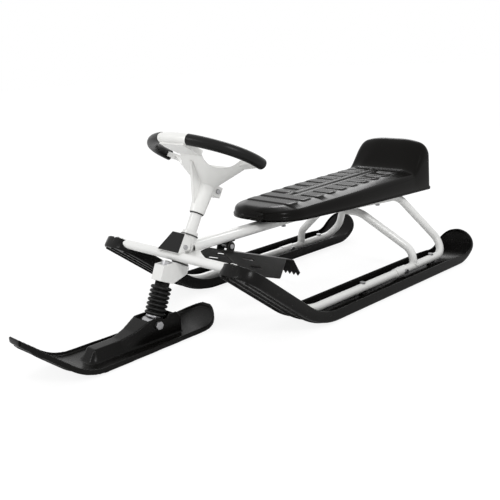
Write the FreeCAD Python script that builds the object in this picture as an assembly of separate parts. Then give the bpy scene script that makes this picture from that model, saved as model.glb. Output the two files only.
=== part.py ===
import FreeCAD, Part
import math
import os
from FreeCAD import Vector, Placement, Rotation

# Lengths are in millimetres and angles in degrees.
# X points forward, Y to the rider's left and Z up; the ground is at zero.

# Fits shared by many pieces
weld_gap = 0.05
bolt_clearance = 0.05
running_clearance = 0.06
seat_clearance = 0.1
reach_through = 400.0

# Frame tubes
tube_radius = 10.0
tube_wall = 1.6
runner_tube_y = 190.0
runner_tube_z = 22.0
sleeve_x = -330.0
sleeve_length = 44.0
sleeve_wall = 1.6
rear_corner_x = -557.0
rear_bend_radius = 40.0
rear_top_x = -478.0
rear_top_y = 84.0
rear_top_bend_radius = 40.0
backbone_z = 175.0
backbone_y = 10.5
backbone_split_x = -170.0
backbone_split_radius = 150.0
backbone_overlap = 12.0

# Steering head: the column leans back about the point where it crosses the backbone height
head_x = 188.0
column_lean = 30.0
head_tube_radius = 17.0
head_tube_wall = 2.0
head_tube_low = -33.0
head_tube_high = 28.0
bush_length = 14.0
bush_flange_radius = 19.0
bush_flange_thickness = 2.5
column_radius = 12.5
column_wall = 2.2
column_low = -52.0
column_high = 158.0
collar_radius = 17.0
collar_length = 7.0
collar_gap = 0.3

# Front cross tube, given by how far it lies below the head point along the column
cross_drop = 23.7
cross_tube_end_margin = 9.0

# Middle hoop
hoop_foot_x = -392.0
hoop_foot_lean_x = 2.0
hoop_foot_lean_y = 4.0
hoop_knee_z = 62.0
hoop_knee_radius = 45.0
hoop_top_x = -345.0
hoop_top_y = 60.0
hoop_top_radius = 50.0
hoop_cope_reach = 30.0

# Gusset plates between the cross tube and the backbone
gusset_thickness = 3.0
gusset_outer_y = 135.0
gusset_rear_x = 156.0
gusset_bow_x = 196.0
gusset_bow_y = 70.0

# Head bracket: a folded sheet in front of the head tube, given by its four corners
bracket_sheet = 2.5
bracket_top_x = 200.6
bracket_top_y = 21.3
bracket_top_z = 213.0
bracket_bottom_x = 235.5
bracket_bottom_y = 35.0
bracket_bottom_lift = 1.5
bracket_foot_half_length = 8.0
bracket_foot_y = 29.5
bracket_foot_width = 4.0
bracket_foot_sink = 8.0
bracket_rear_top_x = 189.0
bracket_rear_top_y = 23.5
bracket_rear_top_z = 198.0
bracket_rear_bottom_x = 199.0
bracket_rear_bottom_y = 30.5
plate_thickness = 0.8
plate_edge = 1.2
bracket_bolt_head = 9.0
bracket_bolt_x = 212.0
bracket_bolt_z = 187.0
bracket_bolt_y = 33.5

# Runner skis: trays with a ramped front and a turned-up tail
ski_outer_y = 250.0
ski_inner_y = 145.0
ski_floor = 4.0
ski_wall = 4.0
ski_lip = 26.0
ski_rib_depth = 3.0
ski_rib_width = 6.0
ski_rib_spread = 34.0
ski_ramp_angle = 37.5
ski_ramp_radius = 180.0
ski_front_margin = 23.0
ski_tail_x = -518.0
ski_tail_radius = 80.0
ski_tail_angle = 84.0
ski_front_corner = 40.0
ski_tail_corner = 50.0
ski_tail_trim = 1.0
ski_tail_crest_z = 82.0
ski_tail_crest_radius = 53.0
ski_tail_crest_over = 3.0
ski_top_reach = 260.0
ski_boss_radius = 11.0
ski_bolt_x_rear = -470.0
ski_bolt_x_front = -180.0
ski_bolt_radius = 3.0
ski_bolt_head_radius = 6.5
ski_bolt_head_height = 3.5

# Seat shell
seat_front_x = 16.0
seat_rear_x = -600.0
seat_half_width = 113.0
seat_front_round = 66.0
seat_front_angle = 84.0
seat_front_steps = 10
seat_middle_steps = 3
seat_back_steps = 14
seat_draft = 3.0
seat_wall = 4.0
seat_front_rim_z = 202.0
seat_rear_rim_z = 178.0
seat_front_top_z = 216.0
seat_crown_x = -42.0
seat_crown_z = 229.0
seat_back_foot_x = -516.0
seat_back_foot_z = 237.0
seat_back_crest_x = -582.0
seat_back_top_z = 312.0
seat_shoulder_drop = 9.0
seat_shoulder_radius = 12.0
seat_shoulder_width = 35.0
seat_front_drop_share = 0.5
seat_back_drop = 26.0
seat_back_shoulder_radius = 38.0
seat_back_shoulder_width = 62.0
seat_flat_radius = 60.0
seat_side_reach = 130.0
seat_base_z = 100.0
seat_flange = 2.5
seat_flange_height = 7.0
pad_height = 1.8
pad_length = 36.0
pad_pitch = 60.0
pad_first_x = -150.0
pad_rows = 7
pad_inner_y = 13.0
pad_outer_y = 84.0
pad_corner_radius = 8.0
pad_front_x = -90.0
pad_front_rows = 2
pad_front_length = 38.0
pad_front_pitch = 46.0
pad_front_half_width = 80.0
spine_half_width = 7.0
spine_height = 2.6
seat_clear_z = 320.0
seat_boss_radius = 9.0
seat_bolt_front_x = -110.0
seat_bolt_rear_x = -410.0
seat_bolt_radius = 3.0
seat_bolt_head = 10.0
seat_bolt_head_height = 4.0
seat_bolt_bite = 22.0

# Steering wheel, in the column's own directions from the head point
wheel_rim_z = 202.0
wheel_centre_x = 20.5
wheel_front_semi = 104.0
wheel_side_semi = 149.0
wheel_side_arc_radius = 80.0
wheel_rear_sweep = 12.0
rim_core_radius = 8.0
rim_front_radius = 11.0
grip_radius = 12.0
grip_front_y = 43.0
grip_clearance = 0.05
dish_middle_x = 4.0
dish_front_semi = 76.0
dish_rear_semi = 34.0
dish_side_semi = 110.0
dish_top_z = 198.0
dish_middle_z = 172.0
dish_low_z = 142.0
dish_middle_share = 0.56
dish_low_radius = 20.0
dish_wall = 5.0
dish_points = 24
notch_angle = 55.0
notch_radius = 46.0
notch_rise = 18.0
notch_inner = 26.0
notch_outer = 108.0
arm_inner_y = 98.0
arm_half_length = 11.0
arm_thickness = 11.0
arm_inner_x = 6.0
arm_drop = 3.0
front_arm_inner_x = 70.0
front_arm_half_width = 38.0
front_arm_thickness = 11.0
stem_low_z = 80.0
stem_low_radius = 16.5
stem_high_radius = 21.0
stem_roof = 6.0
fin_half_thickness = 4.0
fin_low_z = 90.0
fin_low_x = 14.0
fin_high_x = 62.0
fin_high_z = 176.0
clamp_x = -27.0
clamp_half_length = 12.0
clamp_half_width = 12.0
clamp_half_height = 12.0
clamp_z = 140.0
clamp_bolt_radius = 3.0
clamp_bolt_head = 10.0
clamp_bolt_head_height = 4.5
ring_radius = 15.2
ring_length = 2.2

# Fork and strut: the strut leans back from the front ski's pivot
pivot_x = 298.0
pivot_z = 40.0
strut_lean = 24.0
strut_offset = -7.0
rod_radius = 8.0
rod_high = 100.0
eye_radius = 12.0
eye_half_length = 15.0
spring_seat_low = 12.0
spring_seat_thickness = 4.0
spring_seat_radius = 18.0
guide_radius = 12.4
guide_low = 46.0
guide_high = 132.0
fork_sheet = 3.5
fork_inner_y = 12.6
fork_floor = 89.0
fork_back = -16.0
fork_nose = 19.0
fork_roof_drop = 12.0
fork_top_gap = 1.5
fork_rear_reach = 14.0
fork_room_reach = 12.0
boot_low_gap = 0.1
boot_rib_radius = 22.5
boot_root_radius = 16.0
boot_crest_share = 0.3
boot_root_share = 0.06
boot_bore_radius = 13.4
boot_ribs = 7
boot_collar_radius = 15.4
boot_collar_length = 9.0
boot_top_gap = 0.3
spring_thickness = 2.6
spring_gap = 0.4

# Front ski
nose_x = 600.0
front_ski_half_width = 68.0
front_ski_tail_half_width = 60.0
front_ski_tail_x = 132.0
front_ski_flat_rear_x = 206.0
front_ski_tail_radius = 112.0
front_ski_nose_bend_x = 452.0
front_ski_nose_radius = 120.0
front_ski_nose_angle = 40.0
front_ski_floor = 4.5
front_ski_lip = 11.0
front_ski_wall = 4.0
front_ski_rib_spread = 30.0
front_ski_nose_shoulder_x = 505.0
front_ski_nose_tip_y = 24.0
front_ski_nose_radius_plan = 80.0
front_ski_tip_radius = 32.0
front_ski_tail_shoulder_x = 168.0
front_ski_tail_trim = 8.0
front_ski_tail_tip_y = 18.0
front_ski_tail_corner = 58.0
front_ski_tail_end_corner = 44.0
tower_half_width = 28.0
tower_wall = 4.5
tower_rear_x = 238.0
tower_front_x = 318.0
tower_height = 55.0
tower_outline_shares = [
    (0.0, 0.0), (0.0, 0.76), (0.12, 1.0), (0.38, 1.0), (0.46, 0.86), (0.58, 0.86), (0.66, 1.0), (1.0, 1.0),
    (1.0, 0.0)]
ridge_low_half_width = 27.0
ridge_front_x = 462.0
ridge_shares = [
    (0.0, 1.0, 1.0), (0.24, 0.68, 0.76), (0.46, 0.52, 0.52), (0.88, 0.52, 0.48), (1.0, 0.06, 0.42)]
pivot_bolt_radius = 5.0
pivot_bolt_head = 16.0
pivot_bolt_head_height = 6.5
pivot_nut_height = 8.0
spacer_radius = 8.5

# Foot brake, in its own directions: its pin is the zero point and the plate slopes down to the rear
brake_x = 70.0
brake_z = 154.0
brake_slope = 19.0
brake_sheet = 2.5
brake_drop = 11.0
brake_front = 32.0
brake_wing_rear = 86.0
brake_wing_width = 90.0
brake_wing_droop = 26.0
brake_tail = 222.0
brake_tail_half_width = 15.0
brake_neck = 186.0
brake_neck_half_width = 22.0
brake_corner = 14.0
brake_neck_corner = 16.0
brake_tail_corner = 5.0
brake_lug_y = 16.0
brake_lug_thickness = 4.0
brake_lug_radius = 10.4
brake_slot_half_length = 17.0
brake_slot_half_width = 5.0
brake_slot_y = 24.0
brake_slot_x = 34.0
brake_slot_spacing = 30.0
claw_height = 30.0
claw_top_half_width = 14.0
claw_low_half_width = 34.0
claw_tooth_height = 8.0
claw_teeth = 5
claw_lean = 19.0
pin_radius = 4.0
pin_half_length = 20.6
pin_head_radius = 5.4
pin_head_height = 2.2
hanger_half_length = 17.0
hanger_half_width = 12.5
hanger_sheet = 2.5
hanger_ear_radius = 8.0
brake_spring_wire = 1.1
brake_spring_leg = 0.8
brake_spring_gap = 0.4
brake_spring_low_leg = 8.4

forward = Vector(1, 0, 0)
across = Vector(0, 1, 0)
upward = Vector(0, 0, 1)
ground = Vector(0, 0, 0)


def rod(start, direction, length, radius):
    return Part.makeCylinder(radius, length, start, direction)


def ring(start, direction, length, radius, bore):
    return rod(start, direction, length, radius).cut(rod(start, direction, length, bore))


def hexagon(start, direction, height, width):
    flat = Part.Face(Part.makePolygon([
        Vector(width / math.sqrt(3) * math.cos(math.radians(60 * i)),
               width / math.sqrt(3) * math.sin(math.radians(60 * i)), 0) for i in range(7)]))
    body = flat.extrude(Vector(0, 0, height))
    body.Placement = Placement(start, Rotation(upward, direction))
    return body


def mirrored(shape):
    return shape.mirror(ground, across)


def rounded_wire(points, radii):
    """Close a run of corner points with straight lines and tangent arcs."""
    edges = []
    joints = []
    count = len(points)
    for i in range(count):
        corner = points[i]
        back = (points[i - 1] - corner).normalize()
        ahead = (points[(i + 1) % count] - corner).normalize()
        if radii[i] == 0:
            joints.append((corner, corner))
            continue
        half = back.getAngle(ahead) / 2
        reach = radii[i] / math.tan(half)
        start = corner + back * reach
        end = corner + ahead * reach
        middle = corner + (back + ahead).normalize() * (radii[i] / math.sin(half) - radii[i])
        edges.append(Part.Arc(start, middle, end).toShape())
        joints.append((start, end))
    for i in range(count):
        leave = joints[i][1]
        arrive = joints[(i + 1) % count][0]
        if leave.distanceToPoint(arrive) > weld_gap / 10:
            edges.append(Part.makeLine(leave, arrive))
    return Part.Wire(Part.__sortEdges__(edges))


def side_prism(points, radii, low_y, high_y):
    """A side outline of (x, z) corners carried across from low_y to high_y."""
    wire = rounded_wire([Vector(x, low_y, z) for x, z in points], radii)
    return Part.Face(wire).extrude(Vector(0, high_y - low_y, 0))


def plan_prism(points, radii, low_z, high_z):
    """A plan outline of (x, y) corners carried up from low_z to high_z."""
    wire = rounded_wire([Vector(x, y, low_z) for x, y in points], radii)
    return Part.Face(wire).extrude(Vector(0, 0, high_z - low_z))


def box(low, high):
    return Part.makeBox(high[0] - low[0], high[1] - low[1], high[2] - low[2], Vector(*low))


def disc(place, heading, radius):
    return Part.Face(Part.Wire(Part.makeCircle(radius, place, heading)))


def bent_rod(points, bends, radius):
    """A round bar of straight runs joined by tangent bends."""
    runs = []
    start = points[0]
    for i, bend in enumerate(bends, 1):
        back = (points[i - 1] - points[i]).normalize()
        ahead = (points[i + 1] - points[i]).normalize()
        half = back.getAngle(ahead) / 2
        reach = bend / math.tan(half)
        first = points[i] + back * reach
        centre = points[i] + (back + ahead).normalize() * (bend / math.sin(half))
        axis = back.cross(first - centre)
        runs.append(disc(start, first - start, radius).extrude(first - start))
        runs.append(disc(first, first - start, radius).revolve(centre, axis, 180 - math.degrees(2 * half)))
        start = points[i] + ahead * reach
    runs.append(disc(start, points[-1] - start, radius).extrude(points[-1] - start))
    return runs[0].multiFuse(runs[1:]).removeSplitter()


def bent_tube(points, bends, radius, bore):
    return bent_rod(points, bends, radius).cut(bent_rod(points, bends, bore))


def save(name, shape):
    shape.exportStep("parts/" + name + ".step")
    print(name, "valid" if shape.isValid() else "INVALID", len(shape.Solids), "solids",
          round(shape.Volume / 1000, 1), "cm3")


def save_pair(name, shape):
    save(name + "_left", shape)
    save(name + "_right", mirrored(shape))


os.makedirs("parts", exist_ok=True)

# Directions and places that several pieces share
lean = math.radians(column_lean)
column_up = Vector(-math.sin(lean), 0, math.cos(lean))
column_forward = Vector(math.cos(lean), 0, math.sin(lean))
head_point = Vector(head_x, 0, backbone_z)
column_place = Placement(head_point, Rotation(across, -column_lean))
strut_angle = math.radians(strut_lean)
strut_up = Vector(-math.sin(strut_angle), 0, math.cos(strut_angle))
strut_forward = Vector(math.cos(strut_angle), 0, math.sin(strut_angle))
pivot_point = Vector(pivot_x, 0, pivot_z)
tube_bore = tube_radius - tube_wall
cross_reach = head_tube_radius + tube_radius + weld_gap
cross_point = head_point + column_forward * cross_reach - column_up * cross_drop
ramp = math.radians(ski_ramp_angle)
ramp_along = Vector(math.cos(ramp), 0, math.sin(ramp))
sole_z = ski_rib_depth
tube_offset = runner_tube_z - sole_z
ramp_corner_x = cross_point.x - (cross_point.z - runner_tube_z) / math.tan(ramp)
tube_ramp_radius = ski_ramp_radius - tube_offset
ramp_start_x = ramp_corner_x - tube_ramp_radius * math.tan(ramp / 2)
ramp_end = cross_point + ramp_along * (cross_tube_end_margin / math.cos(ramp))
ski_front_x = cross_point.x + ski_front_margin

# Front runner tubes: along the ski and up the ramp
runner_points = [
    Vector(sleeve_x, runner_tube_y, runner_tube_z),
    Vector(ramp_corner_x, runner_tube_y, runner_tube_z),
    Vector(ramp_end.x, runner_tube_y, ramp_end.z)]
runner_tube = bent_tube(runner_points, [tube_ramp_radius], tube_radius, tube_bore)

# Rear frame tubes: ski, rear leg, under the seat and forward to the head as one bent tube
rear_points = [
    Vector(sleeve_x - weld_gap, runner_tube_y, runner_tube_z),
    Vector(rear_corner_x, runner_tube_y, runner_tube_z),
    Vector(rear_top_x, rear_top_y, backbone_z),
    Vector(backbone_split_x, backbone_y, backbone_z),
    Vector(head_x - backbone_overlap, backbone_y, backbone_z)]
rear_bends = [rear_bend_radius, rear_top_bend_radius, backbone_split_radius]
rear_tube = bent_tube(rear_points, rear_bends, tube_radius, tube_bore)
head_envelope = rod(head_point - column_up * reach_through / 2, column_up, reach_through,
                    head_tube_radius + weld_gap)
rear_tube = rear_tube.cut(head_envelope)

# Bolts share these places: down through the ski tubes and up through the backbone
ski_bolt_places = [
    Vector(ski_bolt_x_rear, runner_tube_y, runner_tube_z + tube_radius),
    Vector(ski_bolt_x_front, runner_tube_y, runner_tube_z + tube_radius)]
split_slope = (rear_top_y - backbone_y) / (backbone_split_x - rear_top_x)
seat_bolt_places = [
    Vector(seat_bolt_front_x, backbone_y, backbone_z - tube_radius),
    Vector(seat_bolt_rear_x, backbone_y + split_slope * (backbone_split_x - seat_bolt_rear_x),
           backbone_z - tube_radius)]
sleeve_bolt_place = Vector(sleeve_x - sleeve_length / 4, runner_tube_y, runner_tube_z)


def bored(shape, places, direction, radius):
    for place in places:
        start = place - direction * reach_through / 2
        shape = shape.cut(rod(start, direction, reach_through, radius + bolt_clearance))
    return shape


sleeve_radius = tube_radius + weld_gap + sleeve_wall
runner_tube = bored(runner_tube, [ski_bolt_places[1]], upward, ski_bolt_radius)
rear_tube = rear_tube.cut(rod(ski_bolt_places[0] - upward * tube_radius * 2, upward, tube_radius * 3,
                              ski_bolt_radius + bolt_clearance))
rear_tube = rear_tube.cut(rod(sleeve_bolt_place - across * tube_radius * 2, across, tube_radius * 4,
                              ski_bolt_radius + bolt_clearance))
for place in seat_bolt_places:
    rear_tube = rear_tube.cut(rod(place - upward * tube_radius, upward, tube_radius * 4,
                                  seat_bolt_radius + bolt_clearance))
save_pair("runner_tube", runner_tube)
save_pair("rear_tube", rear_tube)

# Sleeves over the joints of the ski tubes, with their cross bolts
sleeve = ring(Vector(sleeve_x - sleeve_length / 2, runner_tube_y, runner_tube_z), forward,
              sleeve_length, sleeve_radius, tube_radius + weld_gap)
sleeve = bored(sleeve, [sleeve_bolt_place], across, ski_bolt_radius)
save_pair("tube_sleeve", sleeve)

# Middle hoop under the backbone, standing on the ski tubes
hoop_z = backbone_z - 2 * tube_radius - weld_gap
hoop_half = [
    Vector(hoop_foot_x, runner_tube_y, runner_tube_z),
    Vector(hoop_foot_x + hoop_foot_lean_x, runner_tube_y - hoop_foot_lean_y, hoop_knee_z),
    Vector(hoop_top_x, hoop_top_y, hoop_z)]
hoop_points = hoop_half + [Vector(p.x, -p.y, p.z) for p in reversed(hoop_half)]
hoop = bent_tube(hoop_points, [hoop_knee_radius, hoop_top_radius, hoop_top_radius, hoop_knee_radius],
                 tube_radius, tube_bore)
for side in (1, -1):
    hoop = hoop.cut(rod(Vector(hoop_foot_x - hoop_cope_reach, side * runner_tube_y, runner_tube_z),
                        forward, 2 * hoop_cope_reach, tube_radius + weld_gap))
save("middle_hoop", hoop)

# Front cross tube between the ramps, coped onto the runner tubes
cross_tube = rod(Vector(cross_point.x, -runner_tube_y, cross_point.z), across, 2 * runner_tube_y, tube_radius)
cross_tube = cross_tube.cut(rod(Vector(cross_point.x, -runner_tube_y, cross_point.z), across,
                                2 * runner_tube_y, tube_bore))
for side in (1, -1):
    start = Vector(cross_point.x, side * runner_tube_y, cross_point.z) - ramp_along * hoop_cope_reach
    cross_tube = cross_tube.cut(rod(start, ramp_along, 2 * hoop_cope_reach, tube_radius + weld_gap))
cross_envelope = rod(Vector(cross_point.x, -runner_tube_y, cross_point.z), across, 2 * runner_tube_y,
                     tube_radius + weld_gap)
save("cross_tube", cross_tube)

# Gusset plates with a hollow rear edge
gusset_low = cross_point.z - gusset_thickness / 2
gusset_edge = Part.Arc(Vector(cross_point.x, gusset_outer_y, gusset_low),
                       Vector(gusset_bow_x, gusset_bow_y, gusset_low),
                       Vector(gusset_rear_x, backbone_y, gusset_low)).toShape()
gusset_wire = Part.Wire([
    gusset_edge,
    Part.makeLine(Vector(gusset_rear_x, backbone_y, gusset_low), Vector(cross_point.x, backbone_y, gusset_low)),
    Part.makeLine(Vector(cross_point.x, backbone_y, gusset_low),
                  Vector(cross_point.x, gusset_outer_y, gusset_low))])
gusset = Part.Face(gusset_wire).extrude(Vector(0, 0, gusset_thickness))
gusset = gusset.cut(cross_envelope).cut(head_envelope)
gusset = gusset.cut(rod(Vector(0, backbone_y, backbone_z), forward, reach_through, tube_radius + weld_gap))
gusset = max(gusset.Solids, key=lambda solid: solid.Volume)
save_pair("gusset", gusset)

# Head tube, its two flanged bushes and the column inside them
head_tube = ring(head_point + column_up * head_tube_low, column_up, head_tube_high - head_tube_low,
                 head_tube_radius, head_tube_radius - head_tube_wall)
save("head_tube", head_tube)
bush_bore = column_radius + running_clearance
bush_body_radius = head_tube_radius - head_tube_wall - weld_gap


def bush(end, inward):
    barrel = ring(end, inward, bush_length, bush_body_radius, bush_bore)
    flange = ring(end - inward * bush_flange_thickness, inward, bush_flange_thickness, bush_flange_radius,
                  bush_bore)
    return barrel.fuse(flange).removeSplitter()


save("head_bushes", Part.makeCompound([
    bush(head_point + column_up * (head_tube_high + weld_gap), column_up * -1),
    bush(head_point + column_up * (head_tube_low - weld_gap), column_up)]))
column = ring(head_point + column_up * column_low, column_up, column_high - column_low, column_radius,
              column_radius - column_wall)
collar_low = head_tube_high + weld_gap + bush_flange_thickness + collar_gap
collar = ring(head_point + column_up * collar_low, column_up, collar_length, collar_radius,
              column_radius + weld_gap)
save("lock_collar", collar)

# Head bracket: a folded sheet with a sloping face, open at the back and below
bracket_low = cross_point.z + tube_radius + bracket_bottom_lift


def bracket_body(inset):
    """The bracket's outer form, or its inside when inset by the sheet."""
    face = [
        Vector(bracket_top_x - inset, bracket_top_y - inset, bracket_top_z),
        Vector(bracket_top_x - inset, inset - bracket_top_y, bracket_top_z),
        Vector(bracket_bottom_x - inset, inset - bracket_bottom_y, bracket_low),
        Vector(bracket_bottom_x - inset, bracket_bottom_y - inset, bracket_low)]
    rear = [
        Vector(bracket_rear_top_x, bracket_rear_top_y - inset, bracket_rear_top_z),
        Vector(bracket_rear_top_x, inset - bracket_rear_top_y, bracket_rear_top_z),
        Vector(bracket_rear_bottom_x, inset - bracket_rear_bottom_y, bracket_low),
        Vector(bracket_rear_bottom_x, bracket_rear_bottom_y - inset, bracket_low)]
    wires = [Part.makePolygon(ends + [ends[0]]) for ends in (rear, face)]
    return Part.makeLoft(wires, True, True)


bracket_outer = bracket_body(0)
bracket_inner = bracket_body(bracket_sheet)
bracket_inner_low = bracket_inner.copy()
bracket_inner_low.translate(Vector(0, 0, -bracket_sheet))
bracket_inner_back = bracket_inner.copy()
bracket_inner_back.translate(Vector(-bracket_sheet, 0, 0))
bracket = bracket_outer.cut(bracket_inner).cut(bracket_inner_low).cut(bracket_inner_back)
bracket = max(bracket.Solids, key=lambda solid: solid.Volume)
foot_low_z = cross_point.z + tube_radius - bracket_foot_sink
foot = box((cross_point.x - bracket_foot_half_length, bracket_foot_y, foot_low_z),
           (cross_point.x + bracket_foot_half_length, bracket_foot_y + bracket_foot_width,
            bracket_low + bracket_sheet))
foot = foot.cut(cross_envelope)
bracket = bracket.fuse(foot).fuse(mirrored(foot)).removeSplitter()
save("head_bracket", bracket)

# The bare plate on the bracket's sloping face
face_down = Vector(bracket_bottom_x - bracket_top_x, 0, bracket_low - bracket_top_z)
face_out = Vector(-face_down.z, 0, face_down.x).normalize()
edge_share = plate_edge / face_down.Length
plate_corners = []
for share, half_width in ((edge_share, bracket_top_y), (1 - edge_share, bracket_bottom_y)):
    middle = Vector(bracket_top_x, 0, bracket_top_z) + face_down * share + face_out * weld_gap
    plate_corners.append((middle, half_width - plate_edge))
plate_points = [
    plate_corners[0][0] + across * plate_corners[0][1], plate_corners[0][0] - across * plate_corners[0][1],
    plate_corners[1][0] - across * plate_corners[1][1], plate_corners[1][0] + across * plate_corners[1][1]]
head_plate = Part.Face(Part.makePolygon(plate_points + [plate_points[0]])).extrude(face_out * plate_thickness)
save("head_plate", head_plate)

# Fork: two side plates and a front web under the column, round the strut's guide
strut_axis = pivot_point + strut_forward * strut_offset


def strut_point(ahead, along):
    return strut_axis + strut_forward * ahead + strut_up * along


fork_outer_y = fork_inner_y + fork_sheet
fork_roof_z = cross_point.z - fork_roof_drop
nose_low = strut_point(fork_nose, fork_floor)
nose_high_along = (fork_roof_z - strut_point(fork_nose, 0).z) / strut_up.z
nose_high = strut_point(fork_nose, nose_high_along)
back_low = strut_point(fork_back, fork_floor)
fork_top = head_point + column_up * (head_tube_low - weld_gap - bush_flange_thickness - fork_top_gap)
fork_bend = fork_top + column_forward * ((fork_roof_z - fork_top.z) / column_forward.z)
fork_rear_high = fork_top - column_forward * fork_rear_reach
fork_rear_low = head_point + column_up * column_low - column_forward * fork_rear_reach
fork_corners = [nose_low, nose_high, fork_bend, fork_rear_high, fork_rear_low, back_low]
fork = side_prism([(p.x, p.z) for p in fork_corners], [0] * len(fork_corners), -fork_outer_y, fork_outer_y)
room_corners = [
    nose_low, nose_high, fork_bend + column_up * fork_room_reach,
    fork_rear_high + (column_up - column_forward) * fork_room_reach,
    fork_rear_low - (column_up + column_forward) * fork_room_reach, back_low - strut_up * fork_room_reach]
fork_room = side_prism([(p.x, p.z) for p in room_corners], [0] * len(room_corners),
                       -fork_inner_y, fork_inner_y)
fork_room.translate(strut_forward * -fork_sheet)
fork_room_low = fork_room.copy()
fork_room_low.translate(strut_up * -fork_sheet)
fork_room_high = fork_room.copy()
fork_room_high.translate(strut_up * fork_sheet)
fork = fork.cut(fork_room).cut(fork_room_low).cut(fork_room_high)
fork = max(fork.Solids, key=lambda solid: solid.Volume)
save("fork", fork)

# Strut: guide tube in the fork, sliding rod with its eye and spring seat
guide = ring(strut_point(0, guide_low), strut_up, guide_high - guide_low, guide_radius,
             rod_radius + running_clearance)
column_envelope = rod(head_point + column_up * (column_low - reach_through), column_up, 2 * reach_through,
                      column_radius + weld_gap)
guide = guide.cut(column_envelope)
guide = max(guide.Solids, key=lambda solid: solid.Volume)
save("strut_guide", guide)
save("column", column)
eye = rod(pivot_point - across * eye_half_length, across, 2 * eye_half_length, eye_radius)
strut_rod = rod(strut_point(0, 0), strut_up, rod_high, rod_radius)
strut_rod = strut_rod.fuse(eye)
spring_seat = rod(strut_point(0, spring_seat_low), strut_up, spring_seat_thickness, spring_seat_radius)
strut_rod = strut_rod.fuse(spring_seat)
strut_rod = strut_rod.cut(rod(pivot_point - across * reach_through / 2, across, reach_through,
                              pivot_bolt_radius + running_clearance))
strut_rod = strut_rod.removeSplitter()
save("strut_rod", strut_rod)

# Spring between the seat on the rod and the lower end of the guide, hidden by the boot and so plain
spring_low = spring_seat_low + spring_seat_thickness + spring_gap
spring_high = guide_low - spring_gap
save("strut_spring", ring(strut_point(0, spring_low), strut_up, spring_high - spring_low,
                          rod_radius + spring_gap + spring_thickness, rod_radius + spring_gap))

# Ribbed rubber boot from the spring seat up to the fork
boot_low = spring_seat_low + spring_seat_thickness + boot_low_gap
boot_high = fork_floor - boot_top_gap
rib_pitch = (boot_high - boot_collar_length - boot_low) / boot_ribs


def boot_ring(height, radius):
    return Part.Wire(Part.makeCircle(radius, strut_point(0, height), strut_up, 0, 360))


boot_rings = []
for i in range(boot_ribs):
    base = boot_low + i * rib_pitch
    for share, radius in ((0, boot_root_radius), (boot_crest_share, boot_rib_radius),
                          (1 - boot_crest_share, boot_rib_radius), (1 - boot_root_share, boot_root_radius)):
        boot_rings.append(boot_ring(base + share * rib_pitch, radius))
boot_rings.append(boot_ring(boot_high - boot_collar_length, boot_collar_radius))
boot_rings.append(boot_ring(boot_high, boot_collar_radius))
boot = Part.makeLoft(boot_rings, True, True)
boot = boot.cut(rod(strut_point(0, boot_low), strut_up, boot_high - boot_low, boot_bore_radius))
save("boot", boot)


# Runner skis: the sole line runs up the tail arc, along the flat, round the bend and up the ramp
def sole_curve(lift):
    """The sole line raised square to itself, as edges from the tail to the front."""
    tail = math.radians(ski_tail_angle)

    def tail_point(angle):
        radius = ski_tail_radius - lift
        return Vector(ski_tail_x - radius * math.sin(angle), 0,
                      sole_z + ski_tail_radius - radius * math.cos(angle))

    def bend_point(angle):
        radius = ski_ramp_radius - lift
        return Vector(ramp_start_x + radius * math.sin(angle), 0,
                      sole_z + ski_ramp_radius - radius * math.cos(angle))

    top = bend_point(ramp)
    front = Vector(ski_front_x, 0, top.z + (ski_front_x - top.x) * math.tan(ramp))
    edges = [
        Part.Arc(tail_point(tail), tail_point(tail / 2), tail_point(0)).toShape(),
        Part.makeLine(tail_point(0), bend_point(0)),
        Part.Arc(bend_point(0), bend_point(ramp / 2), top).toShape(),
        Part.makeLine(top, front)]
    return edges, tail_point(tail), front


def sole_band(low, high, low_y, high_y):
    """A sheet between two lifts of the sole line, from low_y to high_y."""
    under, under_tail, under_front = sole_curve(low)
    over, over_tail, over_front = sole_curve(high)
    edges = under + over + [Part.makeLine(under_tail, over_tail), Part.makeLine(under_front, over_front)]
    face = Part.Face(Part.Wire(Part.__sortEdges__(edges)))
    face.translate(Vector(0, low_y, 0))
    return face.extrude(Vector(0, high_y - low_y, 0))


def ski_plan(inset):
    """The ski's outline in plan, inset by a wall."""
    low_y = ski_inner_y + inset
    high_y = ski_outer_y - inset
    tail_x = ski_tail_x - ski_tail_radius * math.sin(math.radians(ski_tail_angle)) + ski_tail_trim + inset
    front_x = ski_front_x - inset
    points = [(tail_x, low_y), (front_x, low_y), (front_x, high_y), (tail_x, high_y)]
    tail_round = ski_tail_corner - inset
    front_round = ski_front_corner - inset
    radii = [tail_round, front_round, front_round, tail_round]
    return plan_prism(points, radii, -ski_top_reach, ski_top_reach)


ski_middle_y = (ski_inner_y + ski_outer_y) / 2
tray = sole_band(0, ski_lip, ski_inner_y, ski_outer_y).common(ski_plan(0))
crest_low_y = ski_inner_y - ski_tail_crest_over
crest_high_y = ski_outer_y + ski_tail_crest_over
crest_wire = rounded_wire([
    Vector(-reach_through * 2, y, z) for y, z in (
        (crest_low_y, -ski_tail_crest_z), (crest_high_y, -ski_tail_crest_z),
        (crest_high_y, ski_tail_crest_z), (crest_low_y, ski_tail_crest_z))],
    [0, 0, ski_tail_crest_radius, ski_tail_crest_radius])
crest = Part.Face(crest_wire).extrude(Vector(reach_through * 2 + ski_tail_x, 0, 0))
tail_block = box((-reach_through * 2, crest_low_y, -ski_tail_crest_z),
                 (ski_tail_x, crest_high_y, 2 * ski_tail_crest_z))
tray = tray.cut(tail_block.cut(crest))
room = sole_band(ski_floor, 2 * ski_lip, ski_inner_y, ski_outer_y).common(ski_plan(ski_wall))
ski = tray.cut(room)
for shift in (-ski_rib_spread, 0, ski_rib_spread):
    low_y = ski_middle_y + shift - ski_rib_width / 2
    rib = sole_band(-ski_rib_depth, weld_gap, low_y, low_y + ski_rib_width).common(ski_plan(ski_wall))
    ski = ski.fuse(rib)
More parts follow.
